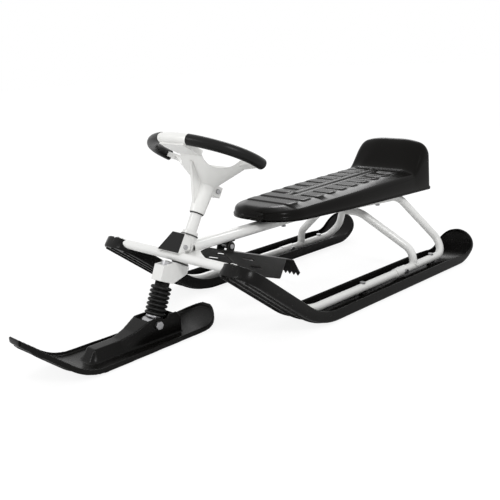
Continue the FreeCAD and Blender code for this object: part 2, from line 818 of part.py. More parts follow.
runner_envelope = rod(Vector(-reach_through * 2, runner_tube_y, runner_tube_z), forward, reach_through * 3,
                      tube_radius + weld_gap)
for place in ski_bolt_places:
    boss = rod(Vector(place.x, place.y, sole_z + ski_floor / 2), upward, tube_offset - ski_floor / 2,
               ski_boss_radius)
    boss = boss.cut(runner_envelope)
    ski = ski.fuse(max(boss.Solids, key=lambda solid: solid.Volume))
for place in ski_bolt_places:
    ski = ski.cut(rod(Vector(place.x, place.y, sole_z + ski_floor / 2), upward, ski_top_reach,
                      ski_bolt_radius + bolt_clearance))
ski = ski.cut(rod(Vector(cross_point.x, 0, cross_point.z), across, runner_tube_y,
                  tube_radius + seat_clearance))
ski = ski.removeSplitter()
save_pair("runner_ski", ski)

# Ski bolts with round heads on the tubes, and the cross bolts of the sleeves
ski_bolt_length = runner_tube_z + tube_radius - sole_z - ski_floor / 2 - bolt_clearance
ski_bolts = []
for place in ski_bolt_places:
    head = rod(place + upward * bolt_clearance, upward, ski_bolt_head_height, ski_bolt_head_radius)
    shank = rod(place - upward * ski_bolt_length, upward, ski_bolt_length + bolt_clearance * 2, ski_bolt_radius)
    ski_bolts.append(head.fuse(shank).removeSplitter())
head = rod(sleeve_bolt_place + across * (sleeve_radius + bolt_clearance), across, ski_bolt_head_height,
           ski_bolt_head_radius)
shank = rod(sleeve_bolt_place - across * (sleeve_radius + bolt_clearance), across,
            2 * (sleeve_radius + bolt_clearance), ski_bolt_radius)
nut = hexagon(sleeve_bolt_place - across * (sleeve_radius + bolt_clearance), across * -1, ski_bolt_head_height,
              2 * ski_bolt_head_radius)
ski_bolts.append(head.fuse(shank).fuse(nut).removeSplitter())
save("ski_bolts", Part.makeCompound(ski_bolts + [mirrored(bolt) for bolt in ski_bolts]))

# Bracket bolts beside the head
bracket_bolts = []
for side in (1, -1):
    start = Vector(bracket_bolt_x, side * bracket_bolt_y, bracket_bolt_z)
    bolt = hexagon(start, across * -side, bracket_bolt_y, bracket_bolt_head).cut(bracket_outer)
    bolt = max(bolt.Solids, key=lambda solid: abs(solid.CenterOfMass.y))
    bolt.translate(across * side * weld_gap)
    bracket_bolts.append(bolt)
save("bracket_bolts", Part.makeCompound(bracket_bolts))


# Seat: one shell through close cross sections from the rounded front to the raised back, hollow from below
top_rise = (seat_back_foot_z - seat_crown_z) / (seat_back_foot_x - seat_crown_x)
seat_round_x = seat_front_x - seat_front_round


def seat_top(x):
    return seat_crown_z + top_rise * (x - seat_crown_x)


def seat_rim(x):
    share = (x - seat_rear_x) / (seat_front_x - seat_rear_x)
    return seat_rear_rim_z + (seat_front_rim_z - seat_rear_rim_z) * share


def front_share(x):
    return max(0, (x - seat_crown_x) / (seat_front_x - seat_crown_x)) ** 2


def back_share(x):
    share = min(1, max(0, (seat_back_foot_x - x) / (seat_back_foot_x - seat_back_crest_x)))
    return share * share * (3 - 2 * share)


def seat_section(x, half_width, inset):
    """One cross section: upright sides, sloping shoulders and a flat middle."""
    back = back_share(x + inset)
    front = front_share(x)
    fall = (seat_top(seat_front_x) - seat_front_top_z) * front
    top = seat_top(x) - fall + (seat_back_top_z - seat_top(x)) * back - inset
    soften = 1 - seat_front_drop_share * front
    drop = (seat_shoulder_drop + (seat_back_drop - seat_shoulder_drop) * back) * soften
    slope_width = seat_shoulder_width + (seat_back_shoulder_width - seat_shoulder_width) * back
    corner = seat_shoulder_radius + (seat_back_shoulder_radius - seat_shoulder_radius) * back
    corner = corner * soften - inset / 2
    rim = seat_rim(x) - inset
    half = [(half_width, rim), (half_width - seat_draft, top - drop), (half_width - slope_width, top)]
    points = half + [(-y, z) for y, z in reversed(half)]
    radii = [0, corner, seat_flat_radius, seat_flat_radius, corner, 0]
    return rounded_wire([Vector(x, y, z) for y, z in points], radii)


def seat_stations(inset, grow):
    """Places along the seat with their half widths, from the front to the rear."""
    places = []
    widest = seat_half_width - inset + grow
    for i in range(seat_front_steps):
        angle = math.radians(seat_front_angle * (1 - i / seat_front_steps))
        reach = seat_front_round - inset + grow
        places.append((seat_round_x + reach * math.sin(angle),
                       seat_half_width - seat_front_round + reach * math.cos(angle)))
    for i in range(seat_middle_steps):
        share = i / seat_middle_steps
        places.append((seat_round_x + (seat_back_foot_x - seat_round_x) * share, widest))
    for i in range(seat_back_steps + 1):
        share = i / seat_back_steps
        places.append((seat_back_foot_x + (seat_rear_x + inset - seat_back_foot_x) * share, widest))
    return places


def seat_form(inset):
    """The seat's outer form, or its inside when inset by the wall."""
    sections = [seat_section(x, half_width, inset) for x, half_width in seat_stations(inset, 0)]
    return Part.makeLoft(sections, True, True)


seat = seat_form(0)
flange_wires = []
for x, half_width in seat_stations(0, seat_flange):
    low_z = seat_rim(x)
    high_z = low_z + seat_flange_height
    corners = [Vector(x, -half_width, low_z), Vector(x, half_width, low_z), Vector(x, half_width, high_z),
               Vector(x, -half_width, high_z)]
    flange_wires.append(Part.makePolygon(corners + [corners[0]]))
seat = seat.fuse(Part.makeLoft(flange_wires, True, True))


def top_layer(rear_x, front_x, height):
    return side_prism([
        (rear_x, seat_top(rear_x) - 2 * seat_wall), (front_x, seat_top(front_x) - 2 * seat_wall),
        (front_x, seat_top(front_x) + height), (rear_x, seat_top(rear_x) + height)], [0, 0, 0, 0],
        -seat_side_reach, seat_side_reach)


pads = []
for row in range(pad_rows):
    middle_x = pad_first_x - pad_pitch * row
    low_x = middle_x - pad_length / 2
    high_x = middle_x + pad_length / 2
    corners = [(low_x, pad_inner_y), (high_x, pad_inner_y), (high_x, pad_outer_y), (low_x, pad_outer_y)]
    pads.append(plan_prism(corners, [pad_corner_radius] * 4, seat_base_z, seat_clear_z))
for row in range(pad_front_rows):
    middle_x = pad_front_x + pad_front_pitch * row
    low_x = middle_x - pad_front_length / 2
    high_x = middle_x + pad_front_length / 2
    corners = [(low_x, -pad_front_half_width), (high_x, -pad_front_half_width),
               (high_x, pad_front_half_width), (low_x, pad_front_half_width)]
    pads.append(plan_prism(corners, [pad_corner_radius] * 4, seat_base_z, seat_clear_z))
layer = top_layer(seat_back_foot_x, seat_crown_x + pad_pitch, pad_height)
for i, pad in enumerate(pads):
    raised = pad.common(layer)
    seat = seat.fuse(raised)
    if i < pad_rows:
        seat = seat.fuse(mirrored(raised))
spine_front_x = pad_first_x + pad_length / 2
spine = box((seat_back_foot_x, -spine_half_width, seat_base_z), (spine_front_x, spine_half_width, seat_clear_z))
seat = seat.fuse(spine.common(top_layer(seat_back_foot_x, spine_front_x, spine_height)))
seat = seat.cut(seat_form(seat_wall))
seat_boss_low = backbone_z + tube_radius + weld_gap
for place in seat_bolt_places:
    boss = rod(Vector(place.x, place.y, seat_boss_low), upward, seat_top(place.x) - seat_boss_low - seat_wall / 2,
               seat_boss_radius)
    boss = boss.cut(rod(Vector(place.x, place.y, seat_boss_low - bolt_clearance), upward,
                        seat_bolt_bite + 2 * bolt_clearance, seat_bolt_radius + bolt_clearance))
    seat = seat.fuse(boss).fuse(mirrored(boss))
seat = seat.removeSplitter()
save("seat", seat)

# Seat bolts from below, through the backbone tubes into the seat's bosses
seat_bolts = []
for place in seat_bolt_places:
    start = place - upward * bolt_clearance
    bolt = hexagon(start, upward * -1, seat_bolt_head_height, seat_bolt_head)
    bolt = bolt.fuse(rod(start, upward, 2 * tube_radius + seat_bolt_bite, seat_bolt_radius))
    seat_bolts.append(bolt.removeSplitter())
    seat_bolts.append(mirrored(seat_bolts[-1]))
save("seat_bolts", Part.makeCompound(seat_bolts))

# Steering wheel: rim of tangent arcs, dished web, stem, fin and clamp, in the column's directions
side_centre_y = wheel_side_semi - wheel_side_arc_radius
front_gap = wheel_front_semi - wheel_side_arc_radius
front_arc_radius = wheel_side_arc_radius + (side_centre_y ** 2 + front_gap ** 2) / (2 * front_gap)
front_centre_x = wheel_centre_x + wheel_front_semi - front_arc_radius
join_angle = math.atan2(side_centre_y, wheel_centre_x - front_centre_x)
rear_angle = math.pi / 2 + math.radians(wheel_rear_sweep)


def side_arc_point(angle):
    return Vector(wheel_centre_x + wheel_side_arc_radius * math.cos(angle),
                  side_centre_y + wheel_side_arc_radius * math.sin(angle), wheel_rim_z)


def front_arc_point(angle):
    return Vector(front_centre_x + front_arc_radius * math.cos(angle), front_arc_radius * math.sin(angle),
                  wheel_rim_z)


rim_end = side_arc_point(rear_angle)
grip_angle = math.asin(grip_front_y / front_arc_radius)


def side_run(radius):
    """The rim's round bar from its free end to where the front arc begins."""
    heading = Vector(math.sin(rear_angle), -math.cos(rear_angle), 0)
    turn = math.degrees(rear_angle - join_angle)
    centre = Vector(wheel_centre_x, side_centre_y, wheel_rim_z)
    return disc(rim_end, heading, radius).revolve(centre, upward * -1, turn)


def front_run(start_angle, end_angle, radius):
    """The rim's round bar along the front arc."""
    heading = Vector(math.sin(start_angle), -math.cos(start_angle), 0)
    turn = math.degrees(start_angle - end_angle)
    return disc(front_arc_point(start_angle), heading, radius).revolve(
        Vector(front_centre_x, 0, wheel_rim_z), upward * -1, turn)


rim = front_run(join_angle, -join_angle, rim_core_radius)
rim = rim.fuse(side_run(rim_core_radius)).fuse(mirrored(side_run(rim_core_radius)))
rim = rim.fuse(front_run(grip_angle, -grip_angle, rim_front_radius))
grip = side_run(grip_radius).fuse(front_run(join_angle, grip_angle, grip_radius)).removeSplitter()
grip_bore = rim_core_radius + grip_clearance
grip_core = side_run(grip_bore).fuse(front_run(join_angle, grip_angle, grip_bore)).removeSplitter()


def dish_wire(share, height, inset):
    """A closed outline between the stem's circle and the dish's top edge."""
    points = []
    for i in range(dish_points):
        angle = 2 * math.pi * i / dish_points
        semi = dish_front_semi if math.cos(angle) > 0 else dish_rear_semi
        outer_x = dish_middle_x + semi * math.cos(angle)
        outer_y = dish_side_semi * math.sin(angle)
        x = dish_low_radius * math.cos(angle) * (1 - share) + outer_x * share
        y = dish_low_radius * math.sin(angle) * (1 - share) + outer_y * share
        size = math.hypot(x, y)
        points.append(Vector(x * (1 - inset / size), y * (1 - inset / size), height))
    curve = Part.BSplineCurve()
    curve.interpolate(points, PeriodicFlag=True)
    return Part.Wire(curve.toShape())


def dish_form(lift, inset):
    return Part.makeLoft([
        dish_wire(0, dish_low_z + lift, inset), dish_wire(dish_middle_share, dish_middle_z + lift, inset),
        dish_wire(1, dish_top_z + lift, inset)], True, False)


dish = dish_form(0, 0).cut(dish_form(dish_wall, dish_wall / 4))
for side in (1, -1):
    heading = Vector(math.cos(math.radians(notch_angle)), side * math.sin(math.radians(notch_angle)), 0)
    dish = dish.cut(rod(Vector(0, 0, wheel_rim_z + notch_rise) + heading * notch_inner, heading,
                        notch_outer - notch_inner, notch_radius))
arm_wires = []
for y, middle_x, thick, middle_z in (
        (arm_inner_y, arm_inner_x, arm_thickness, dish_top_z - arm_drop),
        (rim_end.y, rim_end.x + arm_half_length / 2, arm_thickness, wheel_rim_z)):
    corners = [
        Vector(middle_x - arm_half_length, y, middle_z - thick / 2),
        Vector(middle_x + arm_half_length, y, middle_z - thick / 2),
        Vector(middle_x + arm_half_length, y, middle_z + thick / 2),
        Vector(middle_x - arm_half_length, y, middle_z + thick / 2)]
    arm_wires.append(Part.makePolygon(corners + [corners[0]]))
arm = Part.makeLoft(arm_wires, True, True).cut(grip)
arm = max(arm.Solids, key=lambda solid: solid.Volume)
front_arm = box((front_arm_inner_x, -front_arm_half_width, dish_top_z - front_arm_thickness),
                (wheel_centre_x + wheel_front_semi, front_arm_half_width, dish_top_z))
stem_outline = [
    Vector(0, 0, stem_low_z), Vector(stem_low_radius, 0, stem_low_z), Vector(stem_high_radius, 0, dish_low_z),
    Vector(stem_high_radius, 0, column_high + stem_roof), Vector(0, 0, column_high + stem_roof),
    Vector(0, 0, stem_low_z)]
stem = Part.Face(Part.makePolygon(stem_outline)).revolve(ground, upward, 360)
fin = side_prism([(0, fin_low_z), (fin_low_x, fin_low_z), (fin_high_x, fin_high_z), (0, fin_high_z)],
                 [0, 0, 0, 0], -fin_half_thickness, fin_half_thickness)
fin = fin.cut(dish_form(dish_wall / 2, 0))
clamp = box((clamp_x - clamp_half_length, -clamp_half_width, clamp_z - clamp_half_height),
            (0, clamp_half_width, clamp_z + clamp_half_height))
wheel = rim.fuse(dish).fuse(arm).fuse(mirrored(arm)).fuse(front_arm).fuse(stem).fuse(fin).fuse(clamp)
wheel = wheel.cut(rod(Vector(0, 0, stem_low_z - weld_gap), upward, column_high - stem_low_z + 2 * weld_gap,
                      column_radius + weld_gap))
clamp_bolt_place = Vector(clamp_x, 0, clamp_z)
wheel = wheel.cut(rod(clamp_bolt_place - across * reach_through / 2, across, reach_through,
                      clamp_bolt_radius + bolt_clearance))
wheel = wheel.removeSplitter()
wheel.Placement = column_place
save("steering_wheel", wheel)
grip = grip.cut(grip_core)
grip_right = mirrored(grip)
grip.Placement = column_place
grip_right.Placement = column_place.multiply(grip_right.Placement)
save("grip_left", grip)
save("grip_right", grip_right)
clamp_face = clamp_half_width + bolt_clearance
clamp_bolt = rod(clamp_bolt_place - across * clamp_face, across, 2 * clamp_face, clamp_bolt_radius)
for side in (1, -1):
    clamp_bolt = clamp_bolt.fuse(hexagon(clamp_bolt_place + across * side * clamp_face, across * side,
                                         clamp_bolt_head_height, clamp_bolt_head))
clamp_bolt = clamp_bolt.removeSplitter()
clamp_bolt.Placement = column_place
save("wheel_bolt", clamp_bolt)
stem_ring = ring(Vector(0, 0, stem_low_z - ring_length - weld_gap), upward, ring_length, ring_radius,
                 column_radius + weld_gap)
stem_ring.Placement = column_place
save("stem_ring", stem_ring)


# Front ski: a shallow channel with a turned-up nose and tail, a tower for the pivot and keel ribs
def front_sole(lift):
    """The front ski's sole line raised square to itself, from the tail to the nose."""
    nose = math.radians(front_ski_nose_angle)
    tail = math.asin((front_ski_flat_rear_x - front_ski_tail_x) / front_ski_tail_radius)

    def tail_point(angle):
        radius = front_ski_tail_radius - lift
        return Vector(front_ski_flat_rear_x - radius * math.sin(angle), 0,
                      sole_z + front_ski_tail_radius - radius * math.cos(angle))

    def nose_point(angle):
        radius = front_ski_nose_radius - lift
        return Vector(front_ski_nose_bend_x + radius * math.sin(angle), 0,
                      sole_z + front_ski_nose_radius - radius * math.cos(angle))

    top = nose_point(nose)
    front = Vector(nose_x, 0, top.z + (nose_x - top.x) * math.tan(nose))
    edges = [
        Part.Arc(tail_point(tail), tail_point(tail / 2), tail_point(0)).toShape(),
        Part.makeLine(tail_point(0), nose_point(0)),
        Part.Arc(nose_point(0), nose_point(nose / 2), top).toShape(),
        Part.makeLine(top, front)]
    return edges, tail_point(tail), front


def front_band(low, high, half_width):
    under, under_tail, under_front = front_sole(low)
    over, over_tail, over_front = front_sole(high)
    edges = under + over + [Part.makeLine(under_tail, over_tail), Part.makeLine(under_front, over_front)]
    face = Part.Face(Part.Wire(Part.__sortEdges__(edges)))
    face.translate(Vector(0, -half_width, 0))
    return face.extrude(Vector(0, 2 * half_width, 0))


def front_plan(inset):
    half = [
        (front_ski_tail_x + front_ski_tail_trim + inset, front_ski_tail_tip_y),
        (front_ski_tail_shoulder_x, front_ski_tail_half_width - inset),
        (front_ski_nose_bend_x, front_ski_half_width - inset),
        (front_ski_nose_shoulder_x, front_ski_half_width - inset),
        (nose_x - inset, front_ski_nose_tip_y)]
    radii = [front_ski_tail_end_corner - inset, front_ski_tail_corner - inset, 0,
             front_ski_nose_radius_plan - inset, front_ski_tip_radius - inset]
    points = half + [(x, -y) for x, y in reversed(half)]
    return plan_prism(points, radii + list(reversed(radii)), -ski_top_reach, ski_top_reach)


front_ski = front_band(0, front_ski_lip, front_ski_half_width).common(front_plan(0))
front_room = front_band(front_ski_floor, 2 * front_ski_lip, front_ski_half_width)
front_room = front_room.common(front_plan(front_ski_wall))
front_ski = front_ski.cut(front_room)
for shift in (-front_ski_rib_spread, 0, front_ski_rib_spread):
    rib = front_band(-ski_rib_depth, weld_gap, ski_rib_width / 2)
    rib.translate(Vector(0, shift, 0))
    front_ski = front_ski.fuse(rib.common(front_plan(front_ski_wall)))
tower_low = sole_z + front_ski_floor / 2
tower_length = tower_front_x - tower_rear_x
tower_points = [(tower_rear_x + tower_length * x, tower_low + (tower_height - tower_low) * z)
                for x, z in tower_outline_shares]
tower = side_prism(tower_points, [0] * len(tower_points), -tower_half_width, tower_half_width)
tower = tower.cut(box((tower_rear_x + tower_wall, tower_wall - tower_half_width, tower_low),
                      (tower_front_x, tower_half_width - tower_wall, ski_top_reach)))


def ridge_form(inset):
    """The closed ridge in front of the tower, or its inside when inset by the wall."""
    wires = []
    for along, height, width in ridge_shares:
        x = tower_front_x + (ridge_front_x - inset - tower_front_x) * along
        top = max(tower_low + (tower_height - tower_low) * height - inset, tower_low + weld_gap)
        half_low = ridge_low_half_width - inset
        half_top = tower_half_width * width - inset
        corners = [Vector(x, -half_low, tower_low), Vector(x, half_low, tower_low), Vector(x, half_top, top),
                   Vector(x, -half_top, top)]
        wires.append(Part.makePolygon(corners + [corners[0]]))
    return Part.makeLoft(wires, True, True)


tower = tower.fuse(ridge_form(0).cut(ridge_form(tower_wall)))
front_ski = front_ski.fuse(tower)
front_ski = front_ski.cut(rod(pivot_point - across * reach_through / 2, across, reach_through,
                              pivot_bolt_radius + bolt_clearance))
front_ski = front_ski.removeSplitter()
save("front_ski", front_ski)

# Pivot bolt with its nut, and the spacers that keep the eye in the middle of the tower
pivot_face = tower_half_width + bolt_clearance
pivot_bolt = rod(pivot_point - across * (pivot_face + pivot_nut_height), across,
                 2 * pivot_face + pivot_nut_height, pivot_bolt_radius)
pivot_bolt = pivot_bolt.fuse(hexagon(pivot_point + across * pivot_face, across, pivot_bolt_head_height,
                                     pivot_bolt_head))
pivot_bolt = pivot_bolt.removeSplitter()
save("pivot_bolt", pivot_bolt)
pivot_nut = hexagon(pivot_point - across * pivot_face, across * -1, pivot_nut_height, pivot_bolt_head)
pivot_nut = pivot_nut.cut(rod(pivot_point - across * reach_through / 2, across, reach_through,
                              pivot_bolt_radius + bolt_clearance))
save("pivot_nut", pivot_nut)
spacer_length = tower_half_width - tower_wall - eye_half_length - 2 * seat_clearance
spacers = []
for side in (1, -1):
    start = pivot_point + across * side * (eye_half_length + seat_clearance)
    spacers.append(ring(start, across * side, spacer_length, spacer_radius, pivot_bolt_radius + bolt_clearance))
save("pivot_spacers", Part.makeCompound(spacers))

# Foot brake: a winged plate with two lugs and a toothed claw, in its own directions about the pin
brake_place = Placement(Vector(brake_x, 0, brake_z), Rotation(across, brake_slope * -1))
brake_top = -brake_drop
brake_low = brake_top - brake_sheet
strip_half = [(brake_front, brake_neck_half_width), (-brake_neck, brake_neck_half_width),
              (-brake_tail, brake_tail_half_width)]
strip_radii = [0, brake_neck_corner, brake_tail_corner]
strip = strip_half + [(x, -y) for x, y in reversed(strip_half)]
brake = plan_prism(strip, strip_radii + list(reversed(strip_radii)), brake_low, brake_top)
wing = plan_prism(
    [(brake_front, 0), (brake_front, brake_wing_width), (-brake_wing_rear, brake_wing_width), (-brake_neck, 0)],
    [0, brake_corner, brake_corner, 0], -brake_sheet, 0)
for i in range(2):
    slot_y = brake_slot_y + i * brake_slot_spacing
    wing = wing.cut(box(
        (-brake_slot_x - brake_slot_half_length, slot_y - brake_slot_half_width, -brake_sheet),
        (-brake_slot_x + brake_slot_half_length, slot_y + brake_slot_half_width, 0)))
wing.Placement = Placement(Vector(0, brake_neck_half_width, brake_top), Rotation(forward, -brake_wing_droop))
brake = brake.fuse(wing).fuse(mirrored(wing))
for side in (1, -1):
    lug_low = side * brake_lug_y - brake_lug_thickness / 2
    lug = rod(Vector(0, lug_low, 0), across, brake_lug_thickness, brake_lug_radius)
    lug = lug.fuse(box((-brake_lug_radius, lug_low, brake_low),
                       (brake_lug_radius, lug_low + brake_lug_thickness, 0)))
    brake = brake.fuse(lug)
brake = brake.cut(rod(Vector(0, -reach_through / 2, 0), across, reach_through, pin_radius + running_clearance))
claw_points = [Vector(0, -claw_top_half_width, 0), Vector(0, -claw_low_half_width, -claw_height)]
tooth_width = 2 * claw_low_half_width / claw_teeth
for i in range(claw_teeth):
    tip_y = -claw_low_half_width + tooth_width * (i + 1 / 2)
    claw_points.append(Vector(0, tip_y, -claw_height - claw_tooth_height))
    claw_points.append(Vector(0, -claw_low_half_width + tooth_width * (i + 1), -claw_height))
claw_points.append(Vector(0, claw_top_half_width, 0))
claw = Part.Face(Part.makePolygon(claw_points + [claw_points[0]])).extrude(Vector(brake_sheet, 0, 0))
claw.Placement = Placement(Vector(-brake_tail, 0, brake_top), Rotation(across, claw_lean))
brake = brake.fuse(claw).removeSplitter()
brake.Placement = brake_place
save("brake_plate", brake)

# Brake hanger under the backbone, its pin and the return spring on the pin
hanger_top = backbone_z - tube_radius - weld_gap
hanger = box((brake_x - hanger_half_length, -hanger_half_width, hanger_top - hanger_sheet),
             (brake_x + hanger_half_length, hanger_half_width, hanger_top))
for side in (1, -1):
    low_y = hanger_half_width - hanger_sheet if side > 0 else -hanger_half_width
    ear = rod(Vector(brake_x, low_y, brake_z), across, hanger_sheet, hanger_ear_radius)
    ear = ear.fuse(box((brake_x - hanger_ear_radius, low_y, brake_z),
                       (brake_x + hanger_ear_radius, low_y + hanger_sheet, hanger_top)))
    hanger = hanger.fuse(ear)
hanger = hanger.cut(rod(Vector(brake_x, -reach_through / 2, brake_z), across, reach_through,
                        pin_radius + bolt_clearance))
hanger = hanger.removeSplitter()
save("brake_hanger", hanger)
pin = rod(Vector(brake_x, -pin_half_length, brake_z), across, 2 * pin_half_length, pin_radius)
for side in (1, -1):
    pin = pin.fuse(rod(Vector(brake_x, side * (pin_half_length - pin_head_height), brake_z), across * side,
                       pin_head_height, pin_head_radius))
pin = pin.removeSplitter()
save("brake_pin", pin)
spring_end = hanger_half_width - hanger_sheet - brake_spring_gap
spring_bore = pin_radius + brake_spring_gap
leg_x = spring_bore + brake_spring_wire
leg_y = spring_end - brake_spring_wire
brake_spring = ring(Vector(brake_x, -spring_end, brake_z), across, 2 * spring_end,
                    spring_bore + 2 * brake_spring_wire, spring_bore)
up_leg = rod(Vector(brake_x + leg_x, leg_y, brake_z), upward,
             hanger_top - hanger_sheet - brake_spring_gap - brake_z, brake_spring_leg)
low_leg = rod(Vector(brake_x - leg_x, -leg_y, brake_z), upward * -1, brake_spring_low_leg, brake_spring_leg)
brake_spring = brake_spring.fuse(up_leg).fuse(low_leg).removeSplitter()
save("brake_spring", brake_spring)
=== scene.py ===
import math

import bpy
from mathutils import Matrix, Vector


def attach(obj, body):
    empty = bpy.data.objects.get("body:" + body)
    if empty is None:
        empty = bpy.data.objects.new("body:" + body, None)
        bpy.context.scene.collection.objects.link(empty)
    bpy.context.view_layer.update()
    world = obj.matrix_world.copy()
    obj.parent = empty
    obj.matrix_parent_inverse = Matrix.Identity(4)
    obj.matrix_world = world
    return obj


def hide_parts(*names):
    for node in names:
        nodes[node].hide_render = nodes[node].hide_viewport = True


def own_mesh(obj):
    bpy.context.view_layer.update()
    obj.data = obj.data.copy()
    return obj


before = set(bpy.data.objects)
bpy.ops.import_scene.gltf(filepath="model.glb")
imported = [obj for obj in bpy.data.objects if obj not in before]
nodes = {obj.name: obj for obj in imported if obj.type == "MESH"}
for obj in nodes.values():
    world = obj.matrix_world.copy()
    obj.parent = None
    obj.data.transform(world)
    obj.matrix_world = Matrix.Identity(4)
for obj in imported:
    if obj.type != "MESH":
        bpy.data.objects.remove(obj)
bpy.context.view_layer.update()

# Runner skis: two trays moulded in black plastic, with ramped fronts for the feet and turned-up tails.
# The plastic is satin, faintly grained from the mould and scuffed pale along its edges.
# Each tray is a row of cross sections along its sole, with ribs below and bosses for the tube's bolts.
mottle_scale = 12.0
mottle_detail = 3.0
grain_scale = 600.0
grain_detail = 2.0
grain_depth = 0.0004
scratch_scale = 40.0
scratch_detail = 4.0
scratch_stretch = (0.12, 6.0, 2.5)
scratch_shares = (0.60, 0.74)
edge_width = 0.002
edge_shares = (0.99, 0.80)
edge_rounding = 0.0015
edge_samples = 6
tone_shares = (0.90, 1.08)
coat_roughness = 0.12
plain_shine = 0.5


def link(tree, source, output, target, entry):
    """Join an output of one node to an entry of another."""
    tree.links.new(source.outputs[output], target.inputs[entry])


def surface_variation():
    """A node group with broad mottling, fine grain and long scratches on Object coordinates."""
    tree = bpy.data.node_groups.new("surface_variation", "ShaderNodeTree")
    scales = (("Broad Scale", mottle_scale), ("Fine Scale", grain_scale), ("Scratch Scale", scratch_scale))
    for label, value in scales:
        socket = tree.interface.new_socket(label, in_out="INPUT", socket_type="NodeSocketFloat")
        socket.default_value = value
    for label in ("Broad", "Fine", "Scratch"):
        tree.interface.new_socket(label, in_out="OUTPUT", socket_type="NodeSocketFloat")
    inlet = tree.nodes.new("NodeGroupInput")
    outlet = tree.nodes.new("NodeGroupOutput")
    place = tree.nodes.new("ShaderNodeTexCoord")
    for label, detail in (("Broad", mottle_detail), ("Fine", grain_detail)):
        noise = tree.nodes.new("ShaderNodeTexNoise")
        noise.inputs["Detail"].default_value = detail
        link(tree, place, "Object", noise, "Vector")
        link(tree, inlet, label + " Scale", noise, "Scale")
        link(tree, noise, "Fac", outlet, label)
    stretch = tree.nodes.new("ShaderNodeMapping")
    stretch.inputs["Scale"].default_value = scratch_stretch
    scratch = tree.nodes.new("ShaderNodeTexNoise")
    scratch.inputs["Detail"].default_value = scratch_detail
    link(tree, place, "Object", stretch, "Vector")
    link(tree, stretch, "Vector", scratch, "Vector")
    link(tree, inlet, "Scratch Scale", scratch, "Scale")
    narrow = tree.nodes.new("ShaderNodeMapRange")
    narrow.inputs["From Min"].default_value = scratch_shares[0]
    narrow.inputs["From Max"].default_value = scratch_shares[1]
    link(tree, scratch, "Fac", narrow, "Value")
    link(tree, narrow, "Result", outlet, "Scratch")
    return tree


def edge_wear():
    """A node group that marks outer edges, from the difference between the rounded and the true normal."""
    tree = bpy.data.node_groups.new("edge_wear", "ShaderNodeTree")
    width = tree.interface.new_socket("Width", in_out="INPUT", socket_type="NodeSocketFloat")
    width.default_value = edge_width
    tree.interface.new_socket("Mask", in_out="OUTPUT", socket_type="NodeSocketFloat")
    inlet = tree.nodes.new("NodeGroupInput")
    outlet = tree.nodes.new("NodeGroupOutput")
    rounded = tree.nodes.new("ShaderNodeBevel")
    rounded.samples = edge_samples
    true_normal = tree.nodes.new("ShaderNodeNewGeometry")
    dot = tree.nodes.new("ShaderNodeVectorMath")
    dot.operation = "DOT_PRODUCT"
    link(tree, inlet, "Width", rounded, "Radius")
    link(tree, rounded, "Normal", dot, 0)
    link(tree, true_normal, "Normal", dot, 1)
    mask = tree.nodes.new("ShaderNodeMapRange")
    mask.inputs["From Min"].default_value = edge_shares[0]
    mask.inputs["From Max"].default_value = edge_shares[1]
    link(tree, dot, "Value", mask, "Value")
    link(tree, mask, "Result", outlet, "Mask")
    return tree


variation_group = surface_variation()
wear_group = edge_wear()


def finish(name, colour, worn, roughness, grain, wear, broad=mottle_scale, fine=grain_scale, scratches=0,
           metal=0, coat=0, rounding=edge_rounding, shine=plain_shine):
    """A surface with mottled colour, uneven gloss, grain in relief, and rounded, worn edges."""
    material = bpy.data.materials.new(name)
    material.use_nodes = True
    tree = material.node_tree
    shader = tree.nodes["Principled BSDF"]
    shader.inputs["Metallic"].default_value = metal
    shader.inputs["Coat Weight"].default_value = coat
    shader.inputs["Coat Roughness"].default_value = coat_roughness
    shader.inputs["Specular IOR Level"].default_value = shine
    variation = tree.nodes.new("ShaderNodeGroup")
    variation.node_tree = variation_group
    variation.inputs["Broad Scale"].default_value = broad
    variation.inputs["Fine Scale"].default_value = fine
    edges = tree.nodes.new("ShaderNodeGroup")
    edges.node_tree = wear_group
    tone = tree.nodes.new("ShaderNodeMix")
    tone.data_type = "RGBA"
    tone.inputs["A"].default_value = (*[part * tone_shares[0] for part in colour], 1)
    tone.inputs["B"].default_value = (*[min(part * tone_shares[1], 1) for part in colour], 1)
    link(tree, variation, "Broad", tone, "Factor")
    rubbed = tree.nodes.new("ShaderNodeMath")
    rubbed.operation = "MULTIPLY_ADD"
    rubbed.use_clamp = True
    rubbed.inputs[1].default_value = wear
    link(tree, edges, "Mask", rubbed, 0)
    marks = tree.nodes.new("ShaderNodeMath")
    marks.operation = "MULTIPLY"
    marks.inputs[1].default_value = scratches
    link(tree, variation, "Scratch", marks, 0)
    link(tree, marks, "Value", rubbed, 2)
    paint = tree.nodes.new("ShaderNodeMix")
    paint.data_type = "RGBA"
    paint.inputs["B"].default_value = (*worn, 1)
    link(tree, rubbed, "Value", paint, "Factor")
    link(tree, tone, "Result", paint, "A")
    link(tree, paint, "Result", shader, "Base Color")
    gloss = tree.nodes.new("ShaderNodeMapRange")
    gloss.inputs["To Min"].default_value = roughness[0]
    gloss.inputs["To Max"].default_value = roughness[1]
    link(tree, variation, "Broad", gloss, "Value")
    link(tree, gloss, "Result", shader, "Roughness")
    rounded = tree.nodes.new("ShaderNodeBevel")
    rounded.samples = edge_samples
    rounded.inputs["Radius"].default_value = rounding
    relief = tree.nodes.new("ShaderNodeBump")
    relief.inputs["Strength"].default_value = grain
    relief.inputs["Distance"].default_value = grain_depth
    link(tree, rounded, "Normal", relief, "Normal")
    link(tree, variation, "Fine", relief, "Height")
    link(tree, relief, "Normal", shader, "Normal")
    return material


def dress(material, *names):
    """Give one finish to nodes whose solids are shown as they are."""
    for name in names:
        mesh = nodes[name].data
        mesh.materials.clear()
        mesh.materials.append(material)


